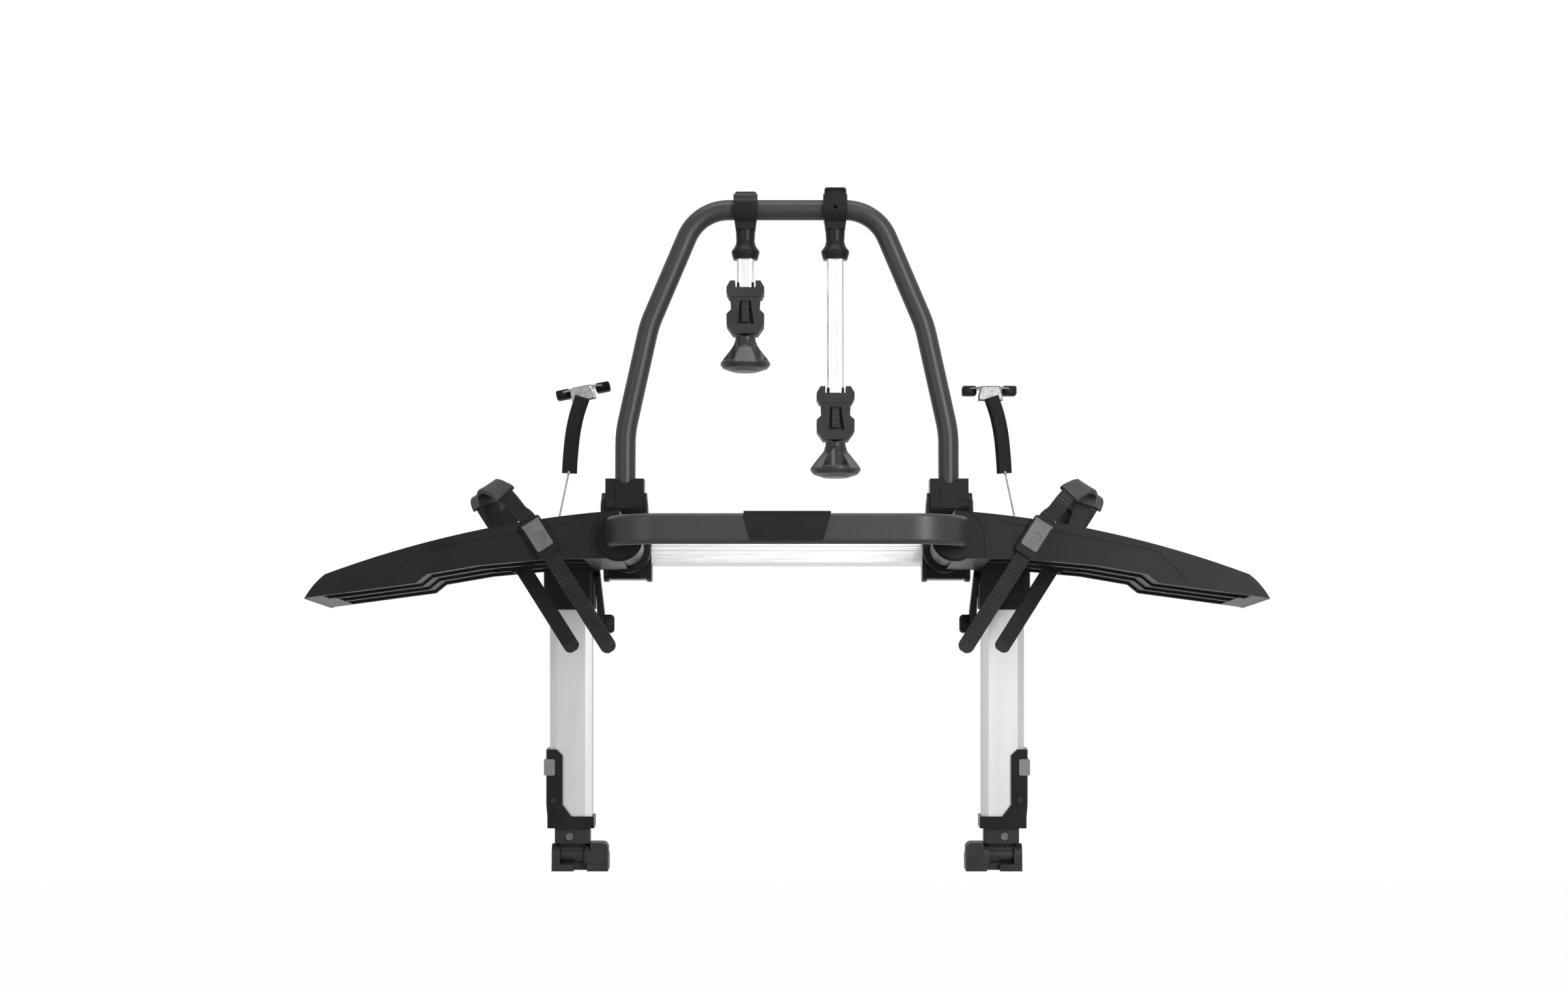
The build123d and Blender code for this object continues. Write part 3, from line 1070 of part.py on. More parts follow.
def arm_neck():
    """Turned neck that swivels in the clamp, flared where the tube enters, with two small windows."""
    top = -CLAMP_FOOT_DROP - MOVE_GAP
    length = NECK_DROP + top
    profile = [(radius, top - (1 - share) * length) for share, radius in NECK_PROFILE_share]
    points = [(0, profile[0][1])] + profile + [(0, profile[-1][1])]
    neck = revolve(Plane.XZ * Polygon(*points, align=None), axis=Axis.Z)
    neck += along_z(Circle(SPIGOT_R), top - OVERRUN, top + SPIGOT_RISE)
    hole = RectangleRounded(TUBE_SIZE + 2 * FIT_GAP, TUBE_SIZE + 2 * FIT_GAP, TUBE_CORNER)
    neck -= along_z(hole, -NECK_DROP - OVERRUN, -TUBE_TOP_DROP + FIT_GAP)
    widest = max(radius for _, radius in NECK_PROFILE_share)
    slot_z = -NECK_DROP + length / 4
    for side in (-1, 1):
        slot = Box(TUBE_CORNER, NECK_FACET_DEPTH * 2, TUBE_CORNER / 2)
        neck -= Pos(side * TUBE_CORNER * 2 / 3, -widest, slot_z) * slot
    return neck


def arm_tube(drop):
    """Aluminium tube from the neck into the head."""
    outer = RectangleRounded(TUBE_SIZE, TUBE_SIZE, TUBE_CORNER)
    inner_size = TUBE_SIZE - 2 * TUBE_WALL
    inner = RectangleRounded(inner_size, inner_size, TUBE_CORNER - TUBE_WALL)
    return along_z(outer - inner, -drop - TUBE_SEAT, -TUBE_TOP_DROP)


def jaw_face(shares, low, height):
    """Symmetric front view of a jaw from its shares of half width and height."""
    half = HEAD_WIDTH / 2
    right = [(x * half, low + z * height) for x, z in shares]
    left = [(-x, z) for x, z in reversed(right)]
    return Polygon(*(right + left), align=None)


def upper_jaw(drop):
    """Fixed jaw on the tube: two horns, a toothed tongue in front and a grip above the mouth."""
    top = -drop
    half_depth = HEAD_DEPTH / 2
    shape = along_y(jaw_face(UPPER_JAW_share, top - SEAM_DROP, SEAM_DROP), -half_depth, half_depth)
    shape -= block(
        -HORN_GAP / 2, HORN_GAP / 2, -half_depth - OVERRUN, half_depth + OVERRUN,
        top - HORN_STEP, top + OVERRUN,
    )
    seat = RectangleRounded(TUBE_SIZE + 2 * FIT_GAP, TUBE_SIZE + 2 * FIT_GAP, TUBE_CORNER)
    shape -= along_z(seat, top - TUBE_SEAT - FIT_GAP, top + OVERRUN)
    shape -= along_z(Circle(SCREW_R + MOVE_GAP), top - SEAM_DROP - OVERRUN, top)
    mouth_z = top - SEAM_DROP - MOUTH_R
    shape -= rod_x(MOUTH_R, -HEAD_WIDTH, HEAD_WIDTH, MOUTH_Y, mouth_z + MOUTH_R / 4)
    tongue_front = -half_depth + WINDOW_DEPTH / 4
    low = top - SEAM_DROP - TONGUE_LENGTH
    tongue_back = tongue_front + TONGUE_THICK
    shape += block(-TONGUE_HALF, TONGUE_HALF, tongue_front, tongue_back, low, top - SEAM_DROP + OVERRUN)
    for index in range(RUNGS):
        rung_z = low + (index + 1 / 2) * RUNG_PITCH
        shape += block(
            -TONGUE_HALF, TONGUE_HALF, tongue_front - RUNG_PROUD, tongue_front, rung_z, rung_z + RUNG_HEIGHT,
        )
    return shape


def lower_jaw(drop):
    """Sliding jaw with a window for the tongue, a round mouth open to the car and the screw's hole."""
    top = -drop - SEAM_DROP - MOVE_GAP
    low = -drop - HEAD_DROP
    height = top - low
    half_depth = HEAD_DEPTH / 2
    shape = along_y(jaw_face(LOWER_JAW_share, low, height), -half_depth, half_depth)
    mouth_z = top - MOUTH_R
    shape -= rod_x(MOUTH_R, -HEAD_WIDTH, HEAD_WIDTH, MOUTH_Y, mouth_z)
    shape -= block(-HEAD_WIDTH, HEAD_WIDTH, MOUTH_Y, half_depth + OVERRUN, mouth_z - MOUTH_R, top + OVERRUN)
    window = (
        (-WINDOW_TOP_HALF, top - WINDOW_TOP_GAP), (WINDOW_TOP_HALF, top - WINDOW_TOP_GAP),
        (WINDOW_BOTTOM_HALF, low + WINDOW_BOTTOM_GAP), (-WINDOW_BOTTOM_HALF, low + WINDOW_BOTTOM_GAP),
    )
    shape -= along_y(outline(window), -half_depth - OVERRUN, -half_depth + WINDOW_DEPTH)
    way = TONGUE_HALF + MOVE_GAP
    way_front = -half_depth + WINDOW_DEPTH / 4 - RUNG_PROUD - MOVE_GAP
    shape -= block(
        -way, way, way_front, -half_depth + WINDOW_DEPTH, low + WINDOW_BOTTOM_GAP / 2, top + OVERRUN,
    )
    return shape - along_z(Circle(SCREW_R + RUN_GAP), low - OVERRUN, top + OVERRUN)


def jaw_knob(drop, turn):
    """Knob with three lobes on a round rim, its washer and its screw."""
    top = -drop - HEAD_DROP - WASHER_GAP
    shape = along_z(Circle(WASHER_R), top - WASHER_THICK, top)
    crown = top - WASHER_THICK
    low = crown - KNOB_HEIGHT
    profile = [(radius * KNOB_R, low + share * KNOB_HEIGHT) for share, radius in KNOB_PROFILE_share]
    points = [(0, profile[0][1])] + profile + [(0, profile[-1][1])]
    bell = revolve(Plane.XZ * Polygon(*points, align=None), axis=Axis.Z)
    floor_z = low + SCALLOP_FLOOR_share * KNOB_HEIGHT
    scallop = Pos(0, SCALLOP_REACH, 0) * along_z(Circle(SCALLOP_R), floor_z, crown - WASHER_THICK / 2)
    for index in range(LOBES):
        bell -= Rot(0, 0, (index + turn) * 360 / LOBES) * scallop
    shape += bell
    return shape + along_z(Circle(SCREW_R), crown - OVERRUN, crown - OVERRUN + SCREW_LENGTH)


def cable_wire(grow=0.0):
    """Steel wire, straight and tight from inside the housing, with a ferrule in the sleeve's end."""
    start = Vector(WIRE_EXIT_X, WIRE_EXIT_Y, WIRE_EXIT_Z)
    end = Vector(WIRE_END_X, WIRE_END_Y, WIRE_END_Z + FERRULE_SEAT)
    length = (end - start).length
    plane = Plane(origin=start, z_dir=end - start)
    wire = extrude(plane * Circle(WIRE_R + grow), amount=length + grow)
    ferrule = extrude(plane * Circle(FERRULE_R + grow), amount=length + grow)
    return wire + (ferrule & Pos(WIRE_END_X, WIRE_END_Y, WIRE_END_Z) * Box(*[4 * FERRULE_SEAT] * 3))


def sleeve_face():
    """Front view of the sleeve: a bowed strip from the wire's end to the hook."""
    half = SLEEVE_WIDTH / 2
    middle_z = (WIRE_END_Z + SLEEVE_TOP_Z) / 2
    middle_x = (WIRE_END_X + SLEEVE_TOP_X) / 2 + SLEEVE_BOW
    outer = ThreePointArc(
        (WIRE_END_X + half, WIRE_END_Z), (middle_x + half, middle_z), (SLEEVE_TOP_X + half, SLEEVE_TOP_Z),
    )
    inner = ThreePointArc(
        (SLEEVE_TOP_X - half, SLEEVE_TOP_Z), (middle_x - half, middle_z), (WIRE_END_X - half, WIRE_END_Z),
    )
    return closed(outer, Line(outer @ 1, inner @ 0), inner, Line(inner @ 1, outer @ 0))


def cable_sleeve():
    """Rubber sleeve that keeps the cable off the paint."""
    half = SLEEVE_THICK / 2
    sleeve = along_y(sleeve_face(), WIRE_END_Y - half, WIRE_END_Y + half)
    sleeve = fillet(sleeve.edges().filter_by(Axis.Y).group_by(Axis.Z)[-1], half)
    return sleeve - cable_wire(FIT_GAP)


def hook_plate(roll):
    """Bent plate behind the sleeve: a flange in front, and a top that spreads back over the hatch."""
    half = HATCH_PLATE_WIDTH / 2
    top_half = HATCH_PLATE_TOP_WIDTH / 2
    low_half = HATCH_PLATE_LOW_WIDTH / 2
    low_top = HATCH_PLATE_RISE - HATCH_PLATE_THICK
    front = (
        (-top_half, HATCH_PLATE_RISE), (top_half, HATCH_PLATE_RISE), (low_half, 0),
        (low_half, -HATCH_PLATE_LAP), (-low_half, -HATCH_PLATE_LAP), (-low_half, 0),
    )
    plan = (
        (-top_half, 0), (top_half, 0), (half, HATCH_PLATE_DEPTH / 2), (half, HATCH_PLATE_DEPTH),
        (-half, HATCH_PLATE_DEPTH), (-half, HATCH_PLATE_DEPTH / 2),
    )
    plate = along_y(outline(front), 0, HATCH_PLATE_THICK)
    return place_hook(plate + along_z(outline(plan), low_top, HATCH_PLATE_RISE), roll)


def place_hook(shape, roll):
    """Put a piece of the hook behind the sleeve's top."""
    return Pos(SLEEVE_TOP_X, WIRE_END_Y + SLEEVE_THICK / 2, SLEEVE_TOP_Z) * Rot(0, roll, 0) * shape


def hook_claws(roll):
    """The two rubber claws that grip the hatch's edge, one at each end of the plate."""
    half = HATCH_PLATE_WIDTH / 2
    back = HATCH_PLATE_DEPTH
    top = HATCH_PLATE_RISE + CLAW_CORNER
    slot_top = HATCH_PLATE_RISE + FIT_GAP
    slot_low = HATCH_PLATE_RISE - HATCH_PLATE_THICK - FIT_GAP
    claws = []
    for side in (-1, 1):
        low, high = sorted((side * (half - CLAW_GRIP), side * (half - CLAW_GRIP + CLAW_WIDTH)))
        claw = block(low, high, back - CLAW_DEPTH + CLAW_CORNER, back + CLAW_CORNER, top - CLAW_HEIGHT, top)
        claw = fillet(claw.edges().filter_by(Axis.Y).group_by(Axis.Z)[-1], CLAW_CORNER)
        claw -= block(-half - FIT_GAP, half + FIT_GAP, 0, back + FIT_GAP, slot_low, slot_top)
        claws.append(place_hook(claw, roll))
    return Compound(claws)


def build():
    """Every node of the carrier."""
    NODES["crossbar"] = crossbar()
    pair("leg", leg())
    pair("leg_housing", leg_housing())
    pair("foot_bracket", foot_bracket())
    screw = bracket_screw()
    NODES["bracket_screws"] = Compound([screw, mirror(screw, about=Plane.YZ)])
    pair("release_button", release_button())
    pair("extension_tube", extension_tube())
    pair("neck_block", neck_block())
    pair("foot", foot())
    pair("support_arm", support_arm())
    pair("support_pad", support_pad())
    pair("hinge_housing", hinge_housing())
    pin = loop_pin()
    NODES["loop_pins"] = Compound([pin, mirror(pin, about=Plane.YZ)])
    pair("loop_socket", loop_socket())
    NODES["frame_loop"] = frame_loop()
    NODES["rear_band"] = rear_band()
    NODES["badge_plate"] = badge_plate()
    pair("wing", wing())
    far_strap = to_far(wheel_strap(FAR_WAY_share, STRAP_FAR_TAIL, STRAP_FAR_SHIFT, STRAP_FAR_DROP))
    pair("wheel_straps", Compound([wheel_strap(NEAR_WAY_share, STRAP_TAIL, 0, 0), far_strap]))
    pair("rim_caps", Compound([rim_cap(NEAR_WAY_share), to_far(rim_cap(FAR_WAY_share))]))
    frame = buckle_frame()
    pair("buckle_frames", Compound([frame, to_far(frame)]))
    lever = buckle_lever()
    pair("near_lever", lever)
    pair("far_lever", to_far(lever))
    arms = (("left", SHORT_ARM_X, SHORT_ARM_DROP, -1), ("right", LONG_ARM_X, LONG_ARM_DROP, 1))
    for side, x, drop, facing in arms:
        place = Pos(x, BAR_Y, LOOP_TOP_Z)
        NODES["arm_clamp_" + side] = place * arm_clamp(facing)
        NODES["arm_neck_" + side] = place * arm_neck()
        NODES["arm_tube_" + side] = place * arm_tube(drop)
        NODES["upper_jaw_" + side] = place * upper_jaw(drop)
        NODES["lower_jaw_" + side] = place * lower_jaw(drop)
        NODES["jaw_knob_" + side] = place * jaw_knob(drop, (facing + 1) / 4)
    pair("cable_wire", cable_wire())
    pair("cable_sleeve", cable_sleeve())
    for side, roll in (("left", LEFT_HOOK_ROLL), ("right", RIGHT_HOOK_ROLL)):
        plate = hook_plate(roll)
        claws = hook_claws(roll)
        flip = side == "left"
        NODES["hook_plate_" + side] = mirror(plate, about=Plane.YZ) if flip else plate
        NODES["hook_claws_" + side] = mirror(claws, about=Plane.YZ) if flip else claws


build()
os.makedirs("parts", exist_ok=True)
for name, shape in NODES.items():
    export_step(shape, "parts/" + name + ".step")
print(len(NODES), "nodes")
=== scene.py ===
"""Looks for a rear hatch bicycle carrier. Metres, +X to the right, +Y towards the car, +Z up."""
from math import cos, pi, radians, sin

import bpy
from mathutils import Euler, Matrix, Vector
from mathutils.bvhtree import BVHTree


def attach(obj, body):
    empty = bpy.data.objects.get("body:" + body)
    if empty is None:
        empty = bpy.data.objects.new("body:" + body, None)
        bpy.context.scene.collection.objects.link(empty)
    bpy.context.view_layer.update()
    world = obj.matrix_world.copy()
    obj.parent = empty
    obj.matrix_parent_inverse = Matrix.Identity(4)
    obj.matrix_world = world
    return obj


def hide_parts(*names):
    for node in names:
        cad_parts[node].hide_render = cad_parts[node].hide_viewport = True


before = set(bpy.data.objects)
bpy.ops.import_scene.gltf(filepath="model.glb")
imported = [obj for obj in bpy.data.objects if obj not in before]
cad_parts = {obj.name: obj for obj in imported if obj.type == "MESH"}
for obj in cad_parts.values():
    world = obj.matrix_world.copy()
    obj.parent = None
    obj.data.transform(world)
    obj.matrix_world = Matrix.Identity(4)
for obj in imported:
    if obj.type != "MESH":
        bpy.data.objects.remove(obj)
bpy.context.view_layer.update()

SIDES = (("right", 1), ("left", -1))

# Wheel strap: slant on the wall, buckle, run above it, tail below it and teeth
STRAP_WIDTH = 0.0205
STRAP_THICK = 0.0024
STRAP_SLANT = radians(32.5)
STRAP_EASE_START_share = 0.85
STRAP_EASE_share = 0.6
BUCKLE = Vector((0.3154, -0.314, 0.4314))
STRAP_RISE = 0.028
STRAP_TAIL = {"near": 0.172, "far": 0.156}
TAIL_POINTS_share = (1.0, 0.75, 0.5, 0.25)
TAB_LENGTH = 0.0125
TIP_LENGTH = 0.0076
TOOTH_PITCH = 0.00436
TOOTH_HEIGHT = 0.0011
TOOTH_FLAT_share = 0.5
STRAP_EDGE = 0.0009
STEP = 0.000545
FAR_SHIFT = Vector((0.049, 0.156, -0.007))
# Where each strap goes above its buckle: out over the rim and down to the channel's floor
NEAR_ROUTE = (
    (0.3410, -0.3140, 0.4640), (0.3530, -0.3140, 0.4790), (0.3650, -0.3090, 0.4910),
    (0.3810, -0.2880, 0.4990), (0.3880, -0.2680, 0.4940), (0.3850, -0.2590, 0.4810),
    (0.3780, -0.2570, 0.4620), (0.3700, -0.2570, 0.4360), (0.3640, -0.2570, 0.4080),
)
FAR_ROUTE = (
    (0.3900, -0.1580, 0.4640), (0.4020, -0.1580, 0.4830), (0.4080, -0.1530, 0.4950),
    (0.4070, -0.1320, 0.5020), (0.3980, -0.1120, 0.4960), (0.3860, -0.1030, 0.4830),
    (0.3720, -0.1010, 0.4660), (0.3610, -0.1010, 0.4400), (0.3550, -0.1010, 0.4100),
)

# Rim cap round each strap, as a part of the strap's line counted from its end
CAP_SKIN = 0.0026
CAP_SIDE = 0.0030
CAP_LIP = 0.0014
CAP_CORNER = 0.0016
CAP_LIP_LENGTH = 0.009
CAP_START_share = 0.40
CAP_END_share = 0.20

# Hatch cables: wire, sleeve and crimped fitting
WIRE_DIAMETER = 0.0025
WIRE_ROUTE = ((0.3185, -0.026, 0.448), (0.31025, 0.0, 0.500), (0.302, 0.026, 0.552))
WIRE_ROUNDNESS = 3
SLEEVE_ROUTE = (
    (0.3020, 0.026, 0.5460), (0.3007, 0.026, 0.5700), (0.2977, 0.026, 0.6005), (0.2922, 0.026, 0.6280),
    (0.2835, 0.026, 0.6550),
)
SLEEVE_STEP = 0.003
SLEEVE_WIDTH = 0.021
SLEEVE_THICK = 0.009
SLEEVE_FACET = 0.0042
SLEEVE_SHOULDER_share = 0.35
SLEEVE_SHOULDER_IN = 0.0006
SLEEVE_BACK_IN = 0.001
SLEEVE_BACK_CORNER = 0.003
FERRULE_R = 0.0026
FERRULE_LENGTH = 0.008
FERRULE_PROFILE_share = (
    (0.0, 0.50), (0.02, 0.80), (0.10, 1.0), (0.45, 1.0), (0.50, 0.86), (0.55, 1.0), (0.95, 1.0), (1.0, 0.7),
)

# Hook behind each sleeve's top: its place, roll, plate with a serrated edge, and rubber claws
HOOK_PLACE = Vector((0.2835, 0.0305, 0.655))
HOOK_ROLL = {"left": radians(11.0), "right": 0.0}
PLATE_WIDTH = 0.060
PLATE_TOP_WIDTH = 0.025
PLATE_LOW_WIDTH = 0.033
PLATE_DEPTH = 0.034
PLATE_THICK = 0.0025
PLATE_RISE = 0.013
PLATE_LAP = 0.007
PLATE_GROWTH = 0.0006
HOOD_FRONT_share = 0.6
HOOD_BEVEL_share = 0.5
HOOD_BEVEL = 0.0016
RIDGES = 9
RIDGE_HALF_share = 0.42
RIDGE_RISE_share = 0.35
CLAW_WIDTH = 0.020
CLAW_DEPTH = 0.022
CLAW_HEIGHT = 0.013
CLAW_GRIP = 0.012
CLAW_CORNER = 0.003
# Share of the depth and growth of the outline there, from front to back
CLAW_RINGS = (
    (0.0, -0.0012), (0.04, -0.0002), (0.09, 0.0), (0.44, 0.0), (0.47, -0.0009), (0.53, -0.0009), (0.56, 0.0),
    (0.90, 0.0), (0.96, -0.0005), (1.0, -0.0016),
)

# Ribbed grip fields on the three lobes of each knob
KNOB_AXIS = {"left": Vector((-0.057, -0.038, 0.680)), "right": Vector((0.0665, -0.038, 0.5344))}
KNOB_TURN = {"left": 0, "right": 60}
LOBES = 3
GRIP_LOW = 0.009
GRIP_HIGH = 0.033
GRIP_LOW_HALF = 0.0150
GRIP_HIGH_HALF = 0.0075
GRIP_TAPER_POWER = 1.4
GRIP_PITCH = 0.0021
GRIP_HEIGHT = 0.0006
GRIP_RIB_share = 0.4
GRIP_SINK = 0.0009
GRIP_ROWS = 15
GRIP_COLUMNS = 85
RAY_START = 0.08

# Screws in each arm's clamp, and the bolt's head on each neck block's leaning front
CLAMP_Z = 0.904
SCREW_ASIDE = 0.009
SCREW_RISE = 0.022
SCREW_FACE = 0.0180
SCREW_R = 0.0026
SCREW_LENGTH = 0.012
SCREW_PROFILE_share = ((0.13, 0.50), (0.0, 0.50), (0.0, 0.86), (0.04, 1.0), (1.0, 1.0))
LEG_LEAN = radians(5.004)
NECK_FRONT = 0.0152

# Rubber pad at the tip of each support arm
PAD_INNER_X = 0.238
PAD_WIDTH = 0.022
PAD_TOP_Z = 0.349
PAD_HEIGHT = 0.025
PAD_FRONT_Y = 0.004
PAD_DEPTH = 0.020
PAD_CORNER = 0.005
# Share of the depth and growth of the outline there, from front to back, with ribs between the two ends
PAD_FRONT_RINGS = ((0.0, -0.0012), (0.04, -0.0003), (0.10, 0.0))
PAD_BACK_RINGS = ((0.86, 0.0), (0.93, -0.0004), (0.975, -0.0014), (1.0, -0.0030))
PAD_RIB_RINGS = ((0.0, 0.0), (0.02, -0.0007), (0.05, -0.0007), (0.07, 0.0))
PAD_RIBS = 3
PAD_RIB_START_share = 0.30
PAD_RIB_PITCH_share = 0.16

# How finely round shapes are cut, and the angle in degrees up to which each kind shades smooth
FINE_STEPS = 4
TURNED_SIDES = 20
CORNER_POINTS = 6
QUARTER = 90
# Side in X, side in Z and first angle of a block's four rounded corners
BLOCK_CORNERS = ((1, 1, 0), (-1, 1, 90), (-1, -1, 180), (1, -1, 270))
PRESSED_ANGLE = 20
SWEPT_ANGLE = 30
TURNED_ANGLE = 40
BLOCK_ANGLE = 50
GRIP_ANGLE = 60

# Materials: the noise that drifts the tone, the noise of the grain, and the bevel of the edges
NOISE_MIDDLE_share = (0.3, 0.7)
TONE_MIDDLE_share = (0.32, 0.68)
DRIFT_DETAIL = 3
GRAIN_DETAIL = 2
BEVEL_SAMPLES = 4
ALONG_X = (0.02, 1, 1)
ALONG_Z = (1, 1, 0.02)

# Each look: its material's name, dark and light grey, roughness from and to, and what differs from plain
LOOKS = {
    "powder": ("powder_coat", 0.014, 0.030, 0.32, 0.46,
               {"specular": 0.30, "tone": 900, "grain": 1100, "depth": 0.00012}),
    "bar": ("satin_bar", 0.74, 0.80, 0.30, 0.42, {"metallic": 1.0, "tone": 60, "stretch": ALONG_X}),
    "leg": ("satin_leg", 0.45, 0.49, 0.38, 0.50, {"metallic": 1.0, "tone": 50, "stretch": ALONG_Z}),
    "tube": ("bright_tube", 0.80, 0.86, 0.16, 0.26,
             {"metallic": 1.0, "tone": 60, "grain": 1200, "depth": 0.00002, "stretch": ALONG_Z}),
    "moulded": ("moulded_black", 0.007, 0.011, 0.30, 0.42,
                {"specular": 0.12, "tone": 25, "grain": 1300, "depth": 0.00003}),
    "tray": ("tray_black", 0.009, 0.013, 0.32, 0.44,
             {"specular": 0.10, "tone": 18, "grain": 1300, "depth": 0.00003}),
    "dark": ("matte_dark", 0.015, 0.022, 0.42, 0.58,
             {"specular": 0.18, "tone": 40, "grain": 1600, "depth": 0.00006}),
    "knob": ("knob_dark", 0.022, 0.032, 0.30, 0.42, {"specular": 0.22, "tone": 40, "grain": 1600}),
    "grip": ("grip_grey", 0.080, 0.100, 0.46, 0.58,
             {"specular": 0.20, "tone": 60, "grain": 1600, "depth": 0.00003, "edge": 0}),
    "cap": ("rim_cap_grey", 0.038, 0.050, 0.50, 0.62, {"specular": 0.18, "tone": 60, "depth": 0.00005}),
    "lever": ("lever_grey", 0.085, 0.105, 0.34, 0.46, {"specular": 0.30, "tone": 50, "grain": 1700}),
    "strap": ("strap_black", 0.009, 0.014, 0.42, 0.58,
              {"specular": 0.16, "tone": 60, "grain": 1700, "depth": 0.00003, "edge": 0}),
    "button": ("button_grey", 0.145, 0.168, 0.40, 0.50, {"specular": 0.30, "tone": 60, "grain": 1700}),
    "rubber": ("black_rubber", 0.006, 0.009, 0.44, 0.58,
               {"specular": 0.09, "tone": 60, "grain": 1400, "depth": 0.00005}),
    "steel": ("bright_steel", 0.20, 0.34, 0.22, 0.38,
              {"metallic": 1.0, "tone": 250, "grain": 1600, "depth": 0.00003}),
    "bolt": ("dark_bolt", 0.10, 0.14, 0.30, 0.42,
             {"metallic": 1.0, "tone": 300, "grain": 1600, "depth": 0.00003}),
}
NODE_LOOKS = {
    "frame_loop": "powder", "rear_band": "powder", "badge_plate": "moulded", "crossbar": "bar", "leg": "leg",
    "extension_tube": "leg", "arm_tube": "tube", "leg_housing": "moulded", "foot_bracket": "moulded",
    "neck_block": "dark", "foot": "dark", "support_arm": "moulded", "hinge_housing": "moulded",
    "loop_socket": "moulded", "wing": "tray", "arm_clamp": "moulded", "arm_neck": "moulded",
    "buckle_frames": "moulded", "jaw_knob": "knob", "upper_jaw": "dark", "lower_jaw": "dark",
    "near_lever": "lever", "far_lever": "lever", "rim_caps": "cap", "wheel_straps": "strap",
    "release_button": "button", "support_pad": "rubber", "cable_sleeve": "rubber", "hook_claws": "rubber",
    "bracket_screws": "dark", "loop_pins": "bolt", "cable_wire": "steel", "hook_plate": "steel",
}

# Studio: world, floor, lamps and camera
WHITE = (1, 1, 1, 1)
WORLD_DIM = 0.22
WORLD_BRIGHT = 1.0
FLOOR_REACH = 12.0
FLOOR_Z = -0.5
FLOOR_COLOUR = (0.9, 0.9, 0.9, 1)
FLOOR_ROUGHNESS = 0.9
FLOOR_SPECULAR = 0.1
FLOOR_WHITE_share = 0.985
LAMP_TARGET = (0, -0.2, 0.5)
# Name, place, width and height, and watts
LAMPS = (
    ("key", (1.5, -3.2, 1.3), (0.4, 2.2), 115),
    ("fill", (-2.2, -2.9, 1.0), (1.4, 1.4), 20),
    ("top", (0.0, -0.6, 2.7), (2.2, 0.8), 30),
)
CAMERA_LENS = 70.0
CAMERA_SENSOR = 36.0
CAMERA_PLACE = (-0.004, -4.190, 0.146)
CAMERA_TILT = radians(95.04)


def link_nodes(tree, start, end):
    """Join two sockets of a node tree."""
    tree.links.new(end, start)


def new_material(name, metallic, roughness, specular):
    """A material with its shader's plain numbers set."""
    material = bpy.data.materials.new(name)
    material.use_nodes = True
    shader = material.node_tree.nodes["Principled BSDF"]
    shader.inputs["Metallic"].default_value = metallic
    shader.inputs["Roughness"].default_value = roughness
    shader.inputs["Specular IOR Level"].default_value = specular
    return material, shader


def object_noise(tree, scale, stretch, detail):
    """Noise in the object's own space, stretched along an axis for drawn or extruded metal."""
    place = tree.nodes.new("ShaderNodeTexCoord")
    mapping = tree.nodes.new("ShaderNodeMapping")
    mapping.inputs["Scale"].default_value = stretch
    noise = tree.nodes.new("ShaderNodeTexNoise")
    noise.inputs["Scale"].default_value = scale
    noise.inputs["Detail"].default_value = detail
    link_nodes(tree, place.outputs["Object"], mapping.inputs["Vector"])
    link_nodes(tree, mapping.outputs["Vector"], noise.inputs["Vector"])
    return noise.outputs["Fac"]


def spread(tree, value, low, high):
    """Map the middle of a noise to a range of numbers."""
    node = tree.nodes.new("ShaderNodeMapRange")
    node.inputs["From Min"].default_value = NOISE_MIDDLE_share[0]
    node.inputs["From Max"].default_value = NOISE_MIDDLE_share[1]
    node.inputs["To Min"].default_value = low
    node.inputs["To Max"].default_value = high
    link_nodes(tree, value, node.inputs["Value"])
    return node.outputs["Result"]


def colour_between(tree, value, dark, light):
    """Colour that goes from a dark to a light grey with a noise."""
    ramp = tree.nodes.new("ShaderNodeValToRGB")
    for element, position, level in zip(ramp.color_ramp.elements, TONE_MIDDLE_share, (dark, light)):
        element.position = position
        element.color = (level, level, level, 1)
    link_nodes(tree, value, ramp.inputs["Fac"])
    return ramp.outputs["Color"]


def surface(name, dark, light, rough_low, rough_high, metallic=0.0, specular=0.25, tone=30, grain=1500,
            depth=0.00004, stretch=(1, 1, 1), edge=0.0006):
    """Material with drifting tone and roughness, a fine grain and softened edges."""
    material, shader = new_material(name, metallic, rough_low, specular)
    tree = material.node_tree
    drift = object_noise(tree, tone, stretch, DRIFT_DETAIL)
    fine = object_noise(tree, grain, stretch, GRAIN_DETAIL)
    link_nodes(tree, colour_between(tree, drift, dark, light), shader.inputs["Base Color"])
    link_nodes(tree, spread(tree, fine, rough_low, rough_high), shader.inputs["Roughness"])
    bump = tree.nodes.new("ShaderNodeBump")
    bump.inputs["Distance"].default_value = depth
    link_nodes(tree, fine, bump.inputs["Height"])
    if edge:
        bevel = tree.nodes.new("ShaderNodeBevel")
        bevel.samples = BEVEL_SAMPLES
        bevel.inputs["Radius"].default_value = edge
        link_nodes(tree, bevel.outputs["Normal"], bump.inputs["Normal"])
    link_nodes(tree, bump.outputs["Normal"], shader.inputs["Normal"])
    return material


def make_materials():
    """The material of every look."""
    return {look: surface(*plain, **differs) for look, (*plain, differs) in LOOKS.items()}


def dress_nodes(looks):
    """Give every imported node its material."""
    for name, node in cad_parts.items():
        key = name.replace("_left", "").replace("_right", "")
        node.data.materials.clear()
        node.data.materials.append(looks[NODE_LOOKS[key]])


def mirrored(point, side):
    """A point of the right side, or its mirror image."""
    return Vector((side * point[0], point[1], point[2]))


def nearer_zero(value, step):
    """A value moved by a step towards zero."""
    return value - step * ((value > 0) - (value < 0))


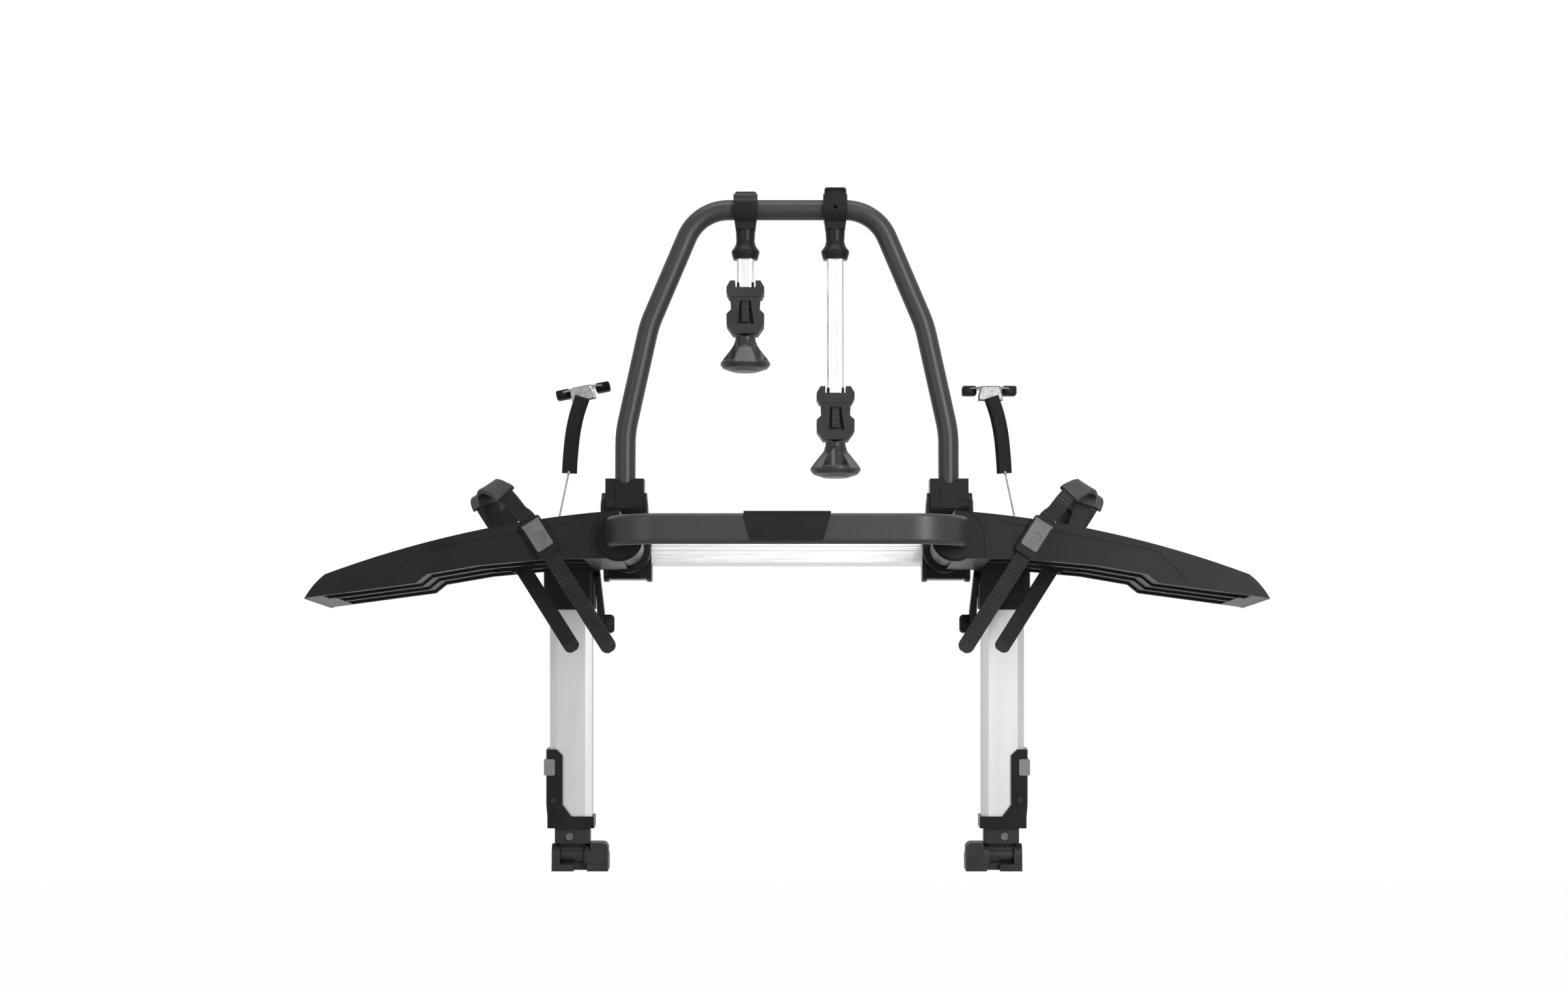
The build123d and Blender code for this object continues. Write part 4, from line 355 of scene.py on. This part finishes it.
def mesh_piece(name, points, faces, material, smooth_angle):
    """A mesh object from its points and faces."""
    mesh = bpy.data.meshes.new(name)
    mesh.from_pydata([tuple(point) for point in points], [], faces)
    mesh.validate()
    mesh.materials.append(material)
    piece = bpy.data.objects.new(name, mesh)
    bpy.context.scene.collection.objects.link(piece)
    mesh.shade_smooth()
    mesh.set_sharp_from_angle(angle=radians(smooth_angle))
    return piece


def skin_faces(rows, count, flip):
    """Faces between rings that follow each other, with one across each end; flip turns them over."""
    faces = []
    for low in range(0, (rows - 1) * count, count):
        for number in range(count):
            after = (number + 1) % count
            faces.append((low + number, low + after, low + count + after, low + count + number))
    last = (rows - 1) * count
    faces.append(tuple(reversed(range(count))))
    faces.append(tuple(last + number for number in range(count)))
    return [tuple(reversed(face)) for face in faces] if flip else faces


def smooth_line(points, step):
    """Evenly spaced points along a rounded line through the given points."""
    points = [Vector(point) for point in points]
    ends = [2 * points[0] - points[1]] + points + [2 * points[-1] - points[-2]]
    fine = []
    for index in range(1, len(ends) - 2):
        a, b, c, d = ends[index - 1:index + 3]
        count = max(FINE_STEPS, round(FINE_STEPS * (c - b).length / step))
        for number in range(count):
            t = number / count
            fine.append(0.5 * (2 * b + (c - a) * t + (2 * a - 5 * b + 4 * c - d) * t * t
                               + (3 * b - a - 3 * c + d) * t ** 3))
    fine.append(points[-1])
    even = [fine[0]]
    travelled = 0.0
    for before, after in zip(fine, fine[1:]):
        travelled += (after - before).length
        if travelled >= step:
            even.append(after)
            travelled = 0.0
    return even


def sweep(name, line, across_at, section_at, material, flip):
    """Skin a closed section along a line; section_at(index) gives (across, out) pairs."""
    points = []
    for index, point in enumerate(line):
        before = line[max(index - 1, 0)]
        after = line[min(index + 1, len(line) - 1)]
        tangent = (after - before).normalized()
        across = across_at(index)
        across = (across - across.dot(tangent) * tangent).normalized()
        out = across.cross(tangent)
        if flip:
            out = -out
        points += [point + a * across + b * out for a, b in section_at(index)]
    faces = skin_faces(len(line), len(points) // len(line), flip)
    return mesh_piece(name, points, faces, material, SWEPT_ANGLE)


def turned(name, foot, direction, radius, length, shares, material):
    """Turned piece from its foot along a direction; shares are (length, radius) pairs of its rings."""
    turn = direction.to_track_quat("Z", "Y").to_matrix()
    points = []
    for along, wide in shares:
        for number in range(TURNED_SIDES):
            angle = 2 * pi * number / TURNED_SIDES
            ring = Vector((cos(angle) * wide * radius, sin(angle) * wide * radius, along * length))
            points.append(foot + turn @ ring)
    faces = skin_faces(len(shares), TURNED_SIDES, False)
    return mesh_piece(name, points, faces, material, TURNED_ANGLE)


def soft_block(name, box, corner, rings, material, turn=None):
    """Block of rubber with rounded corners; rings are (depth share, growth) pairs from front to back."""
    (low_x, low_y, low_z), (high_x, high_y, high_z) = box
    middle = Vector(((low_x + high_x) / 2, 0, (low_z + high_z) / 2))
    points = []
    for along, growth in rings:
        for turn_x, turn_z, first in BLOCK_CORNERS:
            for number in range(CORNER_POINTS):
                angle = radians(first + QUARTER * number / (CORNER_POINTS - 1))
                x = middle.x + turn_x * ((high_x - low_x) / 2 - corner) + cos(angle) * (corner + growth)
                z = middle.z + turn_z * ((high_z - low_z) / 2 - corner) + sin(angle) * (corner + growth)
                point = Vector((x, low_y + (high_y - low_y) * along, z))
                points.append(turn(point) if turn else point)
    faces = skin_faces(len(rings), len(BLOCK_CORNERS) * CORNER_POINTS, True)
    return mesh_piece(name, points, faces, material, BLOCK_ANGLE)


def strap_line(route, place, shift, side):
    """The whole strap's centre line, from the tip of its tail to the channel's floor."""
    direction = Vector((sin(STRAP_SLANT), 0, cos(STRAP_SLANT)))
    buckle = BUCKLE + shift
    tail = [buckle - direction * STRAP_TAIL[place] * share for share in TAIL_POINTS_share]
    points = tail + [buckle, buckle + direction * STRAP_RISE] + [Vector(point) for point in route]
    return smooth_line([mirrored(point, side) for point in points], STEP)


def strap_across(line, index, side):
    """Width direction of the strap at a place on its line."""
    share = index / (len(line) - 1)
    slant = STRAP_SLANT if share < STRAP_EASE_START_share else STRAP_SLANT * STRAP_EASE_share
    return Vector((side * cos(slant), 0, -sin(slant)))


def wheel_strap(name, line, side, material):
    """Toothed strap with a smooth rounded tab at its tip."""
    half = STRAP_WIDTH / 2
    tab = round(TAB_LENGTH / STEP)
    tip = round(TIP_LENGTH / STEP)

    def section(index):
        narrow = 1.0
        if index < tip:
            narrow = (1 - ((tip - index) / (tip + 1)) ** 2) ** 0.5
        along = index * STEP / TOOTH_PITCH % 1
        tooth = TOOTH_HEIGHT if index > tab and along < TOOTH_FLAT_share else 0.0
        top = STRAP_THICK / 2 - TOOTH_HEIGHT / 2 + tooth
        low = -STRAP_THICK / 2
        edge = half * narrow
        inner = edge - STRAP_EDGE
        return ((-edge, low), (edge, low), (edge, 0), (inner, top), (-inner, top), (-edge, 0))

    def across(index):
        return strap_across(line, index, side)

    return sweep(name, line, across, section, material, side < 0)


def rim_cap(name, line, side, material):
    """Soft cap wrapped round the strap where it passes over the rim, with a flared lip at each end."""
    start = len(line) - round(len(line) * CAP_START_share)
    end = len(line) - round(len(line) * CAP_END_share)
    part = line[start:end]
    half = STRAP_WIDTH / 2 + CAP_SIDE
    skin = STRAP_THICK / 2 + CAP_SKIN

    def section(index):
        from_end = min(index, len(part) - 1 - index) * STEP
        lip = CAP_LIP * max(0.0, 1 - from_end / CAP_LIP_LENGTH)
        edge = half + lip
        thick = skin + lip
        flat = edge - CAP_CORNER
        rise = thick - CAP_CORNER
        return (
            (-flat, -thick), (flat, -thick), (edge, -rise), (edge, rise),
            (flat, thick), (-flat, thick), (-edge, rise), (-edge, -rise),
        )

    def across(index):
        return strap_across(line, index + start, side)

    return sweep(name, part, across, section, material, side < 0)


def dress_straps(looks):
    """Both straps and caps of each wing."""
    for label, side in SIDES:
        tray = "tray_" + label
        straps = []
        caps = []
        for place, route, shift in (("near", NEAR_ROUTE, Vector()), ("far", FAR_ROUTE, FAR_SHIFT)):
            line = strap_line(route, place, shift, side)
            straps.append(wheel_strap("strap_" + place + "_" + label, line, side, looks["strap"]))
            caps.append(rim_cap("cap_" + place + "_" + label, line, side, looks["cap"]))
        for piece in straps + caps:
            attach(piece, tray)
        for piece in straps:
            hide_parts("wheel_straps_" + label)
        for piece in caps:
            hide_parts("rim_caps_" + label)


def sleeve(label, side, material):
    """Rubber sleeve with a flat front and two slanted facets, bowed as it hangs on the hatch."""
    line = smooth_line([mirrored(point, side) for point in SLEEVE_ROUTE], SLEEVE_STEP)
    half = SLEEVE_WIDTH / 2
    thick = SLEEVE_THICK / 2
    one_half = (
        (SLEEVE_FACET - half, thick),
        (SLEEVE_SHOULDER_IN - half, thick - SLEEVE_THICK * SLEEVE_SHOULDER_share),
        (-half, 0),
        (SLEEVE_BACK_IN - half, SLEEVE_BACK_IN - thick),
        (SLEEVE_BACK_CORNER - half, -thick),
    )
    section = one_half + tuple((-across, out) for across, out in reversed(one_half))
    across = Vector((side, 0, 0))
    piece = sweep("sleeve_" + label, line, lambda index: across, lambda index: section, material, side < 0)
    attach(piece, "frame")
    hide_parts("cable_sleeve_" + label)


def ferrule(label, side, material):
    """Crimped end fitting of the wire, half inside the sleeve."""
    start, end = (mirrored(point, side) for point in (WIRE_ROUTE[0], WIRE_ROUTE[-1]))
    direction = (end - start).normalized()
    foot = end - direction * FERRULE_LENGTH
    piece = turned("ferrule_" + label, foot, direction, FERRULE_R, FERRULE_LENGTH, FERRULE_PROFILE_share,
                   material)
    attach(piece, "frame")
    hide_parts("cable_wire_" + label)
    return piece


def hatch_wire(label, side, material, pieces):
    """Twisted steel wire, held tight between its housing and the ferrule."""
    curve = bpy.data.curves.new("wire_" + label, "CURVE")
    curve.dimensions = "3D"
    curve.bevel_depth = WIRE_DIAMETER / 2
    curve.bevel_resolution = WIRE_ROUNDNESS
    curve.use_fill_caps = True
    curve.materials.append(material)
    spline = curve.splines.new("NURBS")
    spline.points.add(len(WIRE_ROUTE) - 1)
    for control, point in zip(spline.points, WIRE_ROUTE):
        control.co = (*mirrored(point, side), 1)
    spline.order_u = len(WIRE_ROUTE)
    spline.use_endpoint_u = True
    wire = bpy.data.objects.new("hatch_wire_" + label, curve)
    bpy.context.scene.collection.objects.link(wire)
    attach(wire, "frame")
    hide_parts("cable_wire_" + label)


def dress_cables(looks):
    """Wire, sleeve and end fitting of each hatch cable."""
    for label, side in SIDES:
        sleeve(label, side, looks["rubber"])
        hatch_wire(label, side, looks["steel"], [ferrule(label, side, looks["steel"])])


def hook_turn(label, side):
    """Function that puts a point of the hook's own upright frame behind the sleeve's top."""
    roll = Euler((0, HOOK_ROLL[label], 0)).to_matrix()
    return lambda point: mirrored(HOOK_PLACE + roll @ Vector(point), side)


def hook_hood(label, side, material):
    """Pressed hood of the hook: a trapezoid front with a bevelled rim."""
    place = hook_turn(label, side)
    half_top = PLATE_TOP_WIDTH / 2
    half_low = PLATE_LOW_WIDTH / 2
    front = -PLATE_THICK * HOOD_FRONT_share
    rim = ((-half_top, PLATE_RISE), (-half_low, 0.0), (-half_low, -PLATE_LAP), (half_low, -PLATE_LAP),
           (half_low, 0.0), (half_top, PLATE_RISE))
    layers = ((0.0, -PLATE_GROWTH), (front * HOOD_BEVEL_share, 0.0), (front, HOOD_BEVEL))
    points = []
    for y, shrink in layers:
        points += [place((nearer_zero(x, shrink), y, nearer_zero(z, shrink))) for x, z in rim]
    faces = skin_faces(len(layers), len(rim), side < 0)
    hood = mesh_piece("hood_" + label, points, faces, material, PRESSED_ANGLE)
    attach(hood, "frame")


def hook_ridges(label, side, material):
    """Row of small ridges along the hood's top edge."""
    place = hook_turn(label, side)
    pitch = PLATE_TOP_WIDTH / RIDGES
    half = pitch * RIDGE_HALF_share
    top = PLATE_RISE + pitch * RIDGE_RISE_share
    for number in range(RIDGES):
        middle = -PLATE_TOP_WIDTH / 2 + pitch * (number + 0.5)
        points = []
        for y in (-PLATE_THICK * HOOD_FRONT_share, PLATE_THICK * 2):
            points += [place((middle - half, y, PLATE_RISE)), place((middle + half, y, PLATE_RISE)),
                       place((middle, y, top))]
        faces = skin_faces(2, len(points) // 2, side > 0)
        ridge = mesh_piece("ridge_" + label + "_" + str(number), points, faces, material, PRESSED_ANGLE)
        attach(ridge, "frame")


def hook_claws(label, side, material):
    """Two rubber claws with rounded backs and a lip, one at each end of the hook's plate."""
    top = PLATE_RISE + CLAW_CORNER
    back = PLATE_DEPTH + CLAW_CORNER
    for number, end in enumerate((-1, 1)):
        near = end * (PLATE_WIDTH / 2 - CLAW_GRIP)
        far = near + end * CLAW_WIDTH
        box = ((min(near, far), back - CLAW_DEPTH, top - CLAW_HEIGHT), (max(near, far), back, top))
        claw = soft_block("claw_" + label + "_" + str(number), box, CLAW_CORNER, CLAW_RINGS, material,
                          hook_turn(label, side))
        if side < 0:
            claw.data.flip_normals()
        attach(claw, "frame")
        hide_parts("hook_claws_" + label)


def dress_hooks(looks):
    """Hood, ridges and claws of both hooks."""
    for label, side in SIDES:
        hook_hood(label, side, looks["steel"])
        hook_ridges(label, side, looks["steel"])
        hook_claws(label, side, looks["rubber"])


def grip_front(tree, axis, outward, across):
    """Ribbed front with a sunk rim on the knob's surface, row by row, or None where a ray misses the knob."""
    front = []
    for row in range(GRIP_ROWS):
        up = row / (GRIP_ROWS - 1)
        half = GRIP_LOW_HALF + (GRIP_HIGH_HALF - GRIP_LOW_HALF) * up ** GRIP_TAPER_POWER
        for column in range(GRIP_COLUMNS):
            aside = half * (2 * column / (GRIP_COLUMNS - 1) - 1)
            start = axis + Vector((0, 0, GRIP_LOW + (GRIP_HIGH - GRIP_LOW) * up)) + across * aside
            hit = tree.ray_cast(start + outward * RAY_START, -outward)[0]
            if hit is None:
                return None
            rim = row in (0, GRIP_ROWS - 1) or column in (0, GRIP_COLUMNS - 1)
            rib = GRIP_HEIGHT * (1 - GRIP_RIB_share + GRIP_RIB_share * cos(2 * pi * aside / GRIP_PITCH))
            front.append(hit + outward * (-GRIP_SINK / 2 if rim else rib))
    return front


def grip_field(name, tree, axis, turn, material):
    """Raised ribbed field laid on a knob's lobe, or None where the lobe doesn't carry all of it."""
    outward = Vector((sin(turn), -cos(turn), 0))
    across = Vector((cos(turn), sin(turn), 0))
    front = grip_front(tree, axis, outward, across)
    if front is None:
        return None
    back = [point - outward * GRIP_SINK for point in front]
    size = len(front)
    faces = []
    for row in range(GRIP_ROWS - 1):
        for column in range(GRIP_COLUMNS - 1):
            a = row * GRIP_COLUMNS + column
            b = a + GRIP_COLUMNS
            faces.append((a, a + 1, b + 1, b))
            faces.append((size + a, size + b, size + b + 1, size + a + 1))
    ring = list(range(GRIP_COLUMNS))
    ring += [row * GRIP_COLUMNS + GRIP_COLUMNS - 1 for row in range(1, GRIP_ROWS)]
    ring += [(GRIP_ROWS - 1) * GRIP_COLUMNS + column for column in reversed(range(GRIP_COLUMNS - 1))]
    ring += [row * GRIP_COLUMNS for row in reversed(range(1, GRIP_ROWS - 1))]
    for a, b in zip(ring, ring[1:] + ring[:1]):
        faces.append((b, a, size + a, size + b))
    return mesh_piece(name, front + back, faces, material, GRIP_ANGLE)


def dress_knobs(looks):
    """Grip fields of both knobs."""
    for label, _ in SIDES:
        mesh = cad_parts["jaw_knob_" + label].data
        tree = BVHTree.FromPolygons([vertex.co for vertex in mesh.vertices],
                                    [polygon.vertices for polygon in mesh.polygons])
        for lobe in range(LOBES):
            turn = radians(KNOB_TURN[label] + lobe * 360 / LOBES)
            field = grip_field("grip_" + label + "_" + str(lobe), tree, KNOB_AXIS[label], turn, looks["grip"])
            if field:
                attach(field, "knob_" + label)


def clamp_screws(looks):
    """Two dark screws in the recess of each arm's clamp; the left clamp turns its recess to the car."""
    for label, facing in SIDES:
        middle = Vector((KNOB_AXIS[label].x, KNOB_AXIS[label].y, CLAMP_Z))
        for number, side in enumerate((-1, 1)):
            face = middle + Vector((side * SCREW_ASIDE, -facing * SCREW_FACE, SCREW_RISE))
            screw = turned("screw_" + label + "_" + str(number), face, Vector((0, facing, 0)), SCREW_R,
                           SCREW_LENGTH, SCREW_PROFILE_share, looks["dark"])
            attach(screw, "arm_" + label)


def dress_bolts(looks):
    """Bare steel on each neck block's bolt, whose head is all that stands before the block's front."""
    for label, _ in SIDES:
        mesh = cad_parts["neck_block_" + label].data
        mesh.materials.append(looks["bolt"])
        for polygon in mesh.polygons:
            corners = [mesh.vertices[index].co for index in polygon.vertices]
            if min(co.y * cos(LEG_LEAN) + co.z * sin(LEG_LEAN) for co in corners) < -NECK_FRONT:
                polygon.material_index = 1


def support_pads(looks):
    """Rounded rubber pads with a soft ribbed face towards the hatch."""
    low = Vector((PAD_INNER_X, PAD_FRONT_Y, PAD_TOP_Z - PAD_HEIGHT))
    high = low + Vector((PAD_WIDTH, PAD_DEPTH, PAD_HEIGHT))
    rings = list(PAD_FRONT_RINGS)
    for rib in range(PAD_RIBS):
        start = PAD_RIB_START_share + PAD_RIB_PITCH_share * rib
        rings += [(start + along, growth) for along, growth in PAD_RIB_RINGS]
    rings += PAD_BACK_RINGS
    for label, side in SIDES:
        box = (low, high) if side > 0 else ((-high.x, low.y, low.z), (-low.x, high.y, high.z))
        pad = soft_block("pad_" + label, box, PAD_CORNER, rings, looks["rubber"])
        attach(pad, "frame")
        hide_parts("support_pad_" + label)


def greater_of(tree, first, second):
    """The greater of two values of a node tree."""
    node = tree.nodes.new("ShaderNodeMath")
    node.operation = "MAXIMUM"
    link_nodes(tree, first, node.inputs[0])
    link_nodes(tree, second, node.inputs[1])
    return node.outputs[0]


def white_light(tree, kind, strength):
    """White background or emission of a strength."""
    node = tree.nodes.new(kind)
    node.inputs["Color"].default_value = WHITE
    node.inputs["Strength"].default_value = strength
    return node.outputs[0]


def mix_shaders(tree, share, first, second, target):
    """Mix two shaders by a value and send the result to a socket."""
    mix = tree.nodes.new("ShaderNodeMixShader")
    link_nodes(tree, share, mix.inputs["Fac"])
    link_nodes(tree, first, mix.inputs[1])
    link_nodes(tree, second, mix.inputs[2])
    link_nodes(tree, mix.outputs[0], target)


def make_world():
    """World that lights dimly, and that the camera, gloss and clear pieces see as white."""
    world = bpy.data.worlds.new("studio")
    world.use_nodes = True
    bpy.context.scene.world = world
    tree = world.node_tree
    tree.nodes.clear()
    path = tree.nodes.new("ShaderNodeLightPath")
    seen = greater_of(tree, path.outputs["Is Camera Ray"], path.outputs["Is Glossy Ray"])
    seen = greater_of(tree, seen, path.outputs["Is Transmission Ray"])
    dim = white_light(tree, "ShaderNodeBackground", WORLD_DIM)
    bright = white_light(tree, "ShaderNodeBackground", WORLD_BRIGHT)
    output = tree.nodes.new("ShaderNodeOutputWorld")
    mix_shaders(tree, seen, dim, bright, output.inputs["Surface"])


def floor_material():
    """Pale floor that the camera and bright metal see as near white, with a little room for a shadow."""
    material, shader = new_material("pale_floor", 0.0, FLOOR_ROUGHNESS, FLOOR_SPECULAR)
    shader.inputs["Base Color"].default_value = FLOOR_COLOUR
    tree = material.node_tree
    path = tree.nodes.new("ShaderNodeLightPath")
    seen = greater_of(tree, path.outputs["Is Camera Ray"], path.outputs["Is Glossy Ray"])
    part = tree.nodes.new("ShaderNodeMath")
    part.operation = "MULTIPLY"
    part.inputs[1].default_value = FLOOR_WHITE_share
    link_nodes(tree, seen, part.inputs[0])
    white = white_light(tree, "ShaderNodeEmission", WORLD_BRIGHT)
    target = tree.nodes["Material Output"].inputs["Surface"]
    mix_shaders(tree, part.outputs[0], shader.outputs[0], white, target)
    return material


def make_floor():
    """Square floor below the feet."""
    mesh = bpy.data.meshes.new("floor")
    corners = ((-1, -1), (1, -1), (1, 1), (-1, 1))
    mesh.from_pydata([(x * FLOOR_REACH, y * FLOOR_REACH, FLOOR_Z) for x, y in corners], [], [(0, 1, 2, 3)])
    floor = bpy.data.objects.new("floor", mesh)
    bpy.context.scene.collection.objects.link(floor)
    mesh.materials.append(floor_material())


def area_light(name, place, size, watts):
    """Soft rectangular lamp that faces the middle of the carrier."""
    data = bpy.data.lights.new(name, "AREA")
    data.shape = "RECTANGLE"
    data.size, data.size_y = size
    data.energy = watts
    lamp = bpy.data.objects.new(name, data)
    lamp.location = place
    lamp.rotation_euler = (Vector(LAMP_TARGET) - Vector(place)).to_track_quat("-Z", "Y").to_euler()
    bpy.context.scene.collection.objects.link(lamp)


def make_camera():
    """Camera of the photo: low in front of the carrier and tilted upwards."""
    scene = bpy.context.scene
    data = bpy.data.cameras.new("camera")
    data.lens = CAMERA_LENS
    data.sensor_width = CAMERA_SENSOR
    camera = bpy.data.objects.new("camera", data)
    camera.location = CAMERA_PLACE
    camera.rotation_euler = (CAMERA_TILT, 0, 0)
    scene.collection.objects.link(camera)
    scene.camera = camera


def studio():
    """White surroundings, pale floor, soft lamps and the camera."""
    make_world()
    make_floor()
    for lamp in LAMPS:
        area_light(*lamp)
    make_camera()
    bpy.context.scene.view_settings.view_transform = "Standard"


looks = make_materials()
dress_nodes(looks)
dress_straps(looks)
dress_cables(looks)
dress_hooks(looks)
dress_knobs(looks)
clamp_screws(looks)
dress_bolts(looks)
support_pads(looks)
studio()
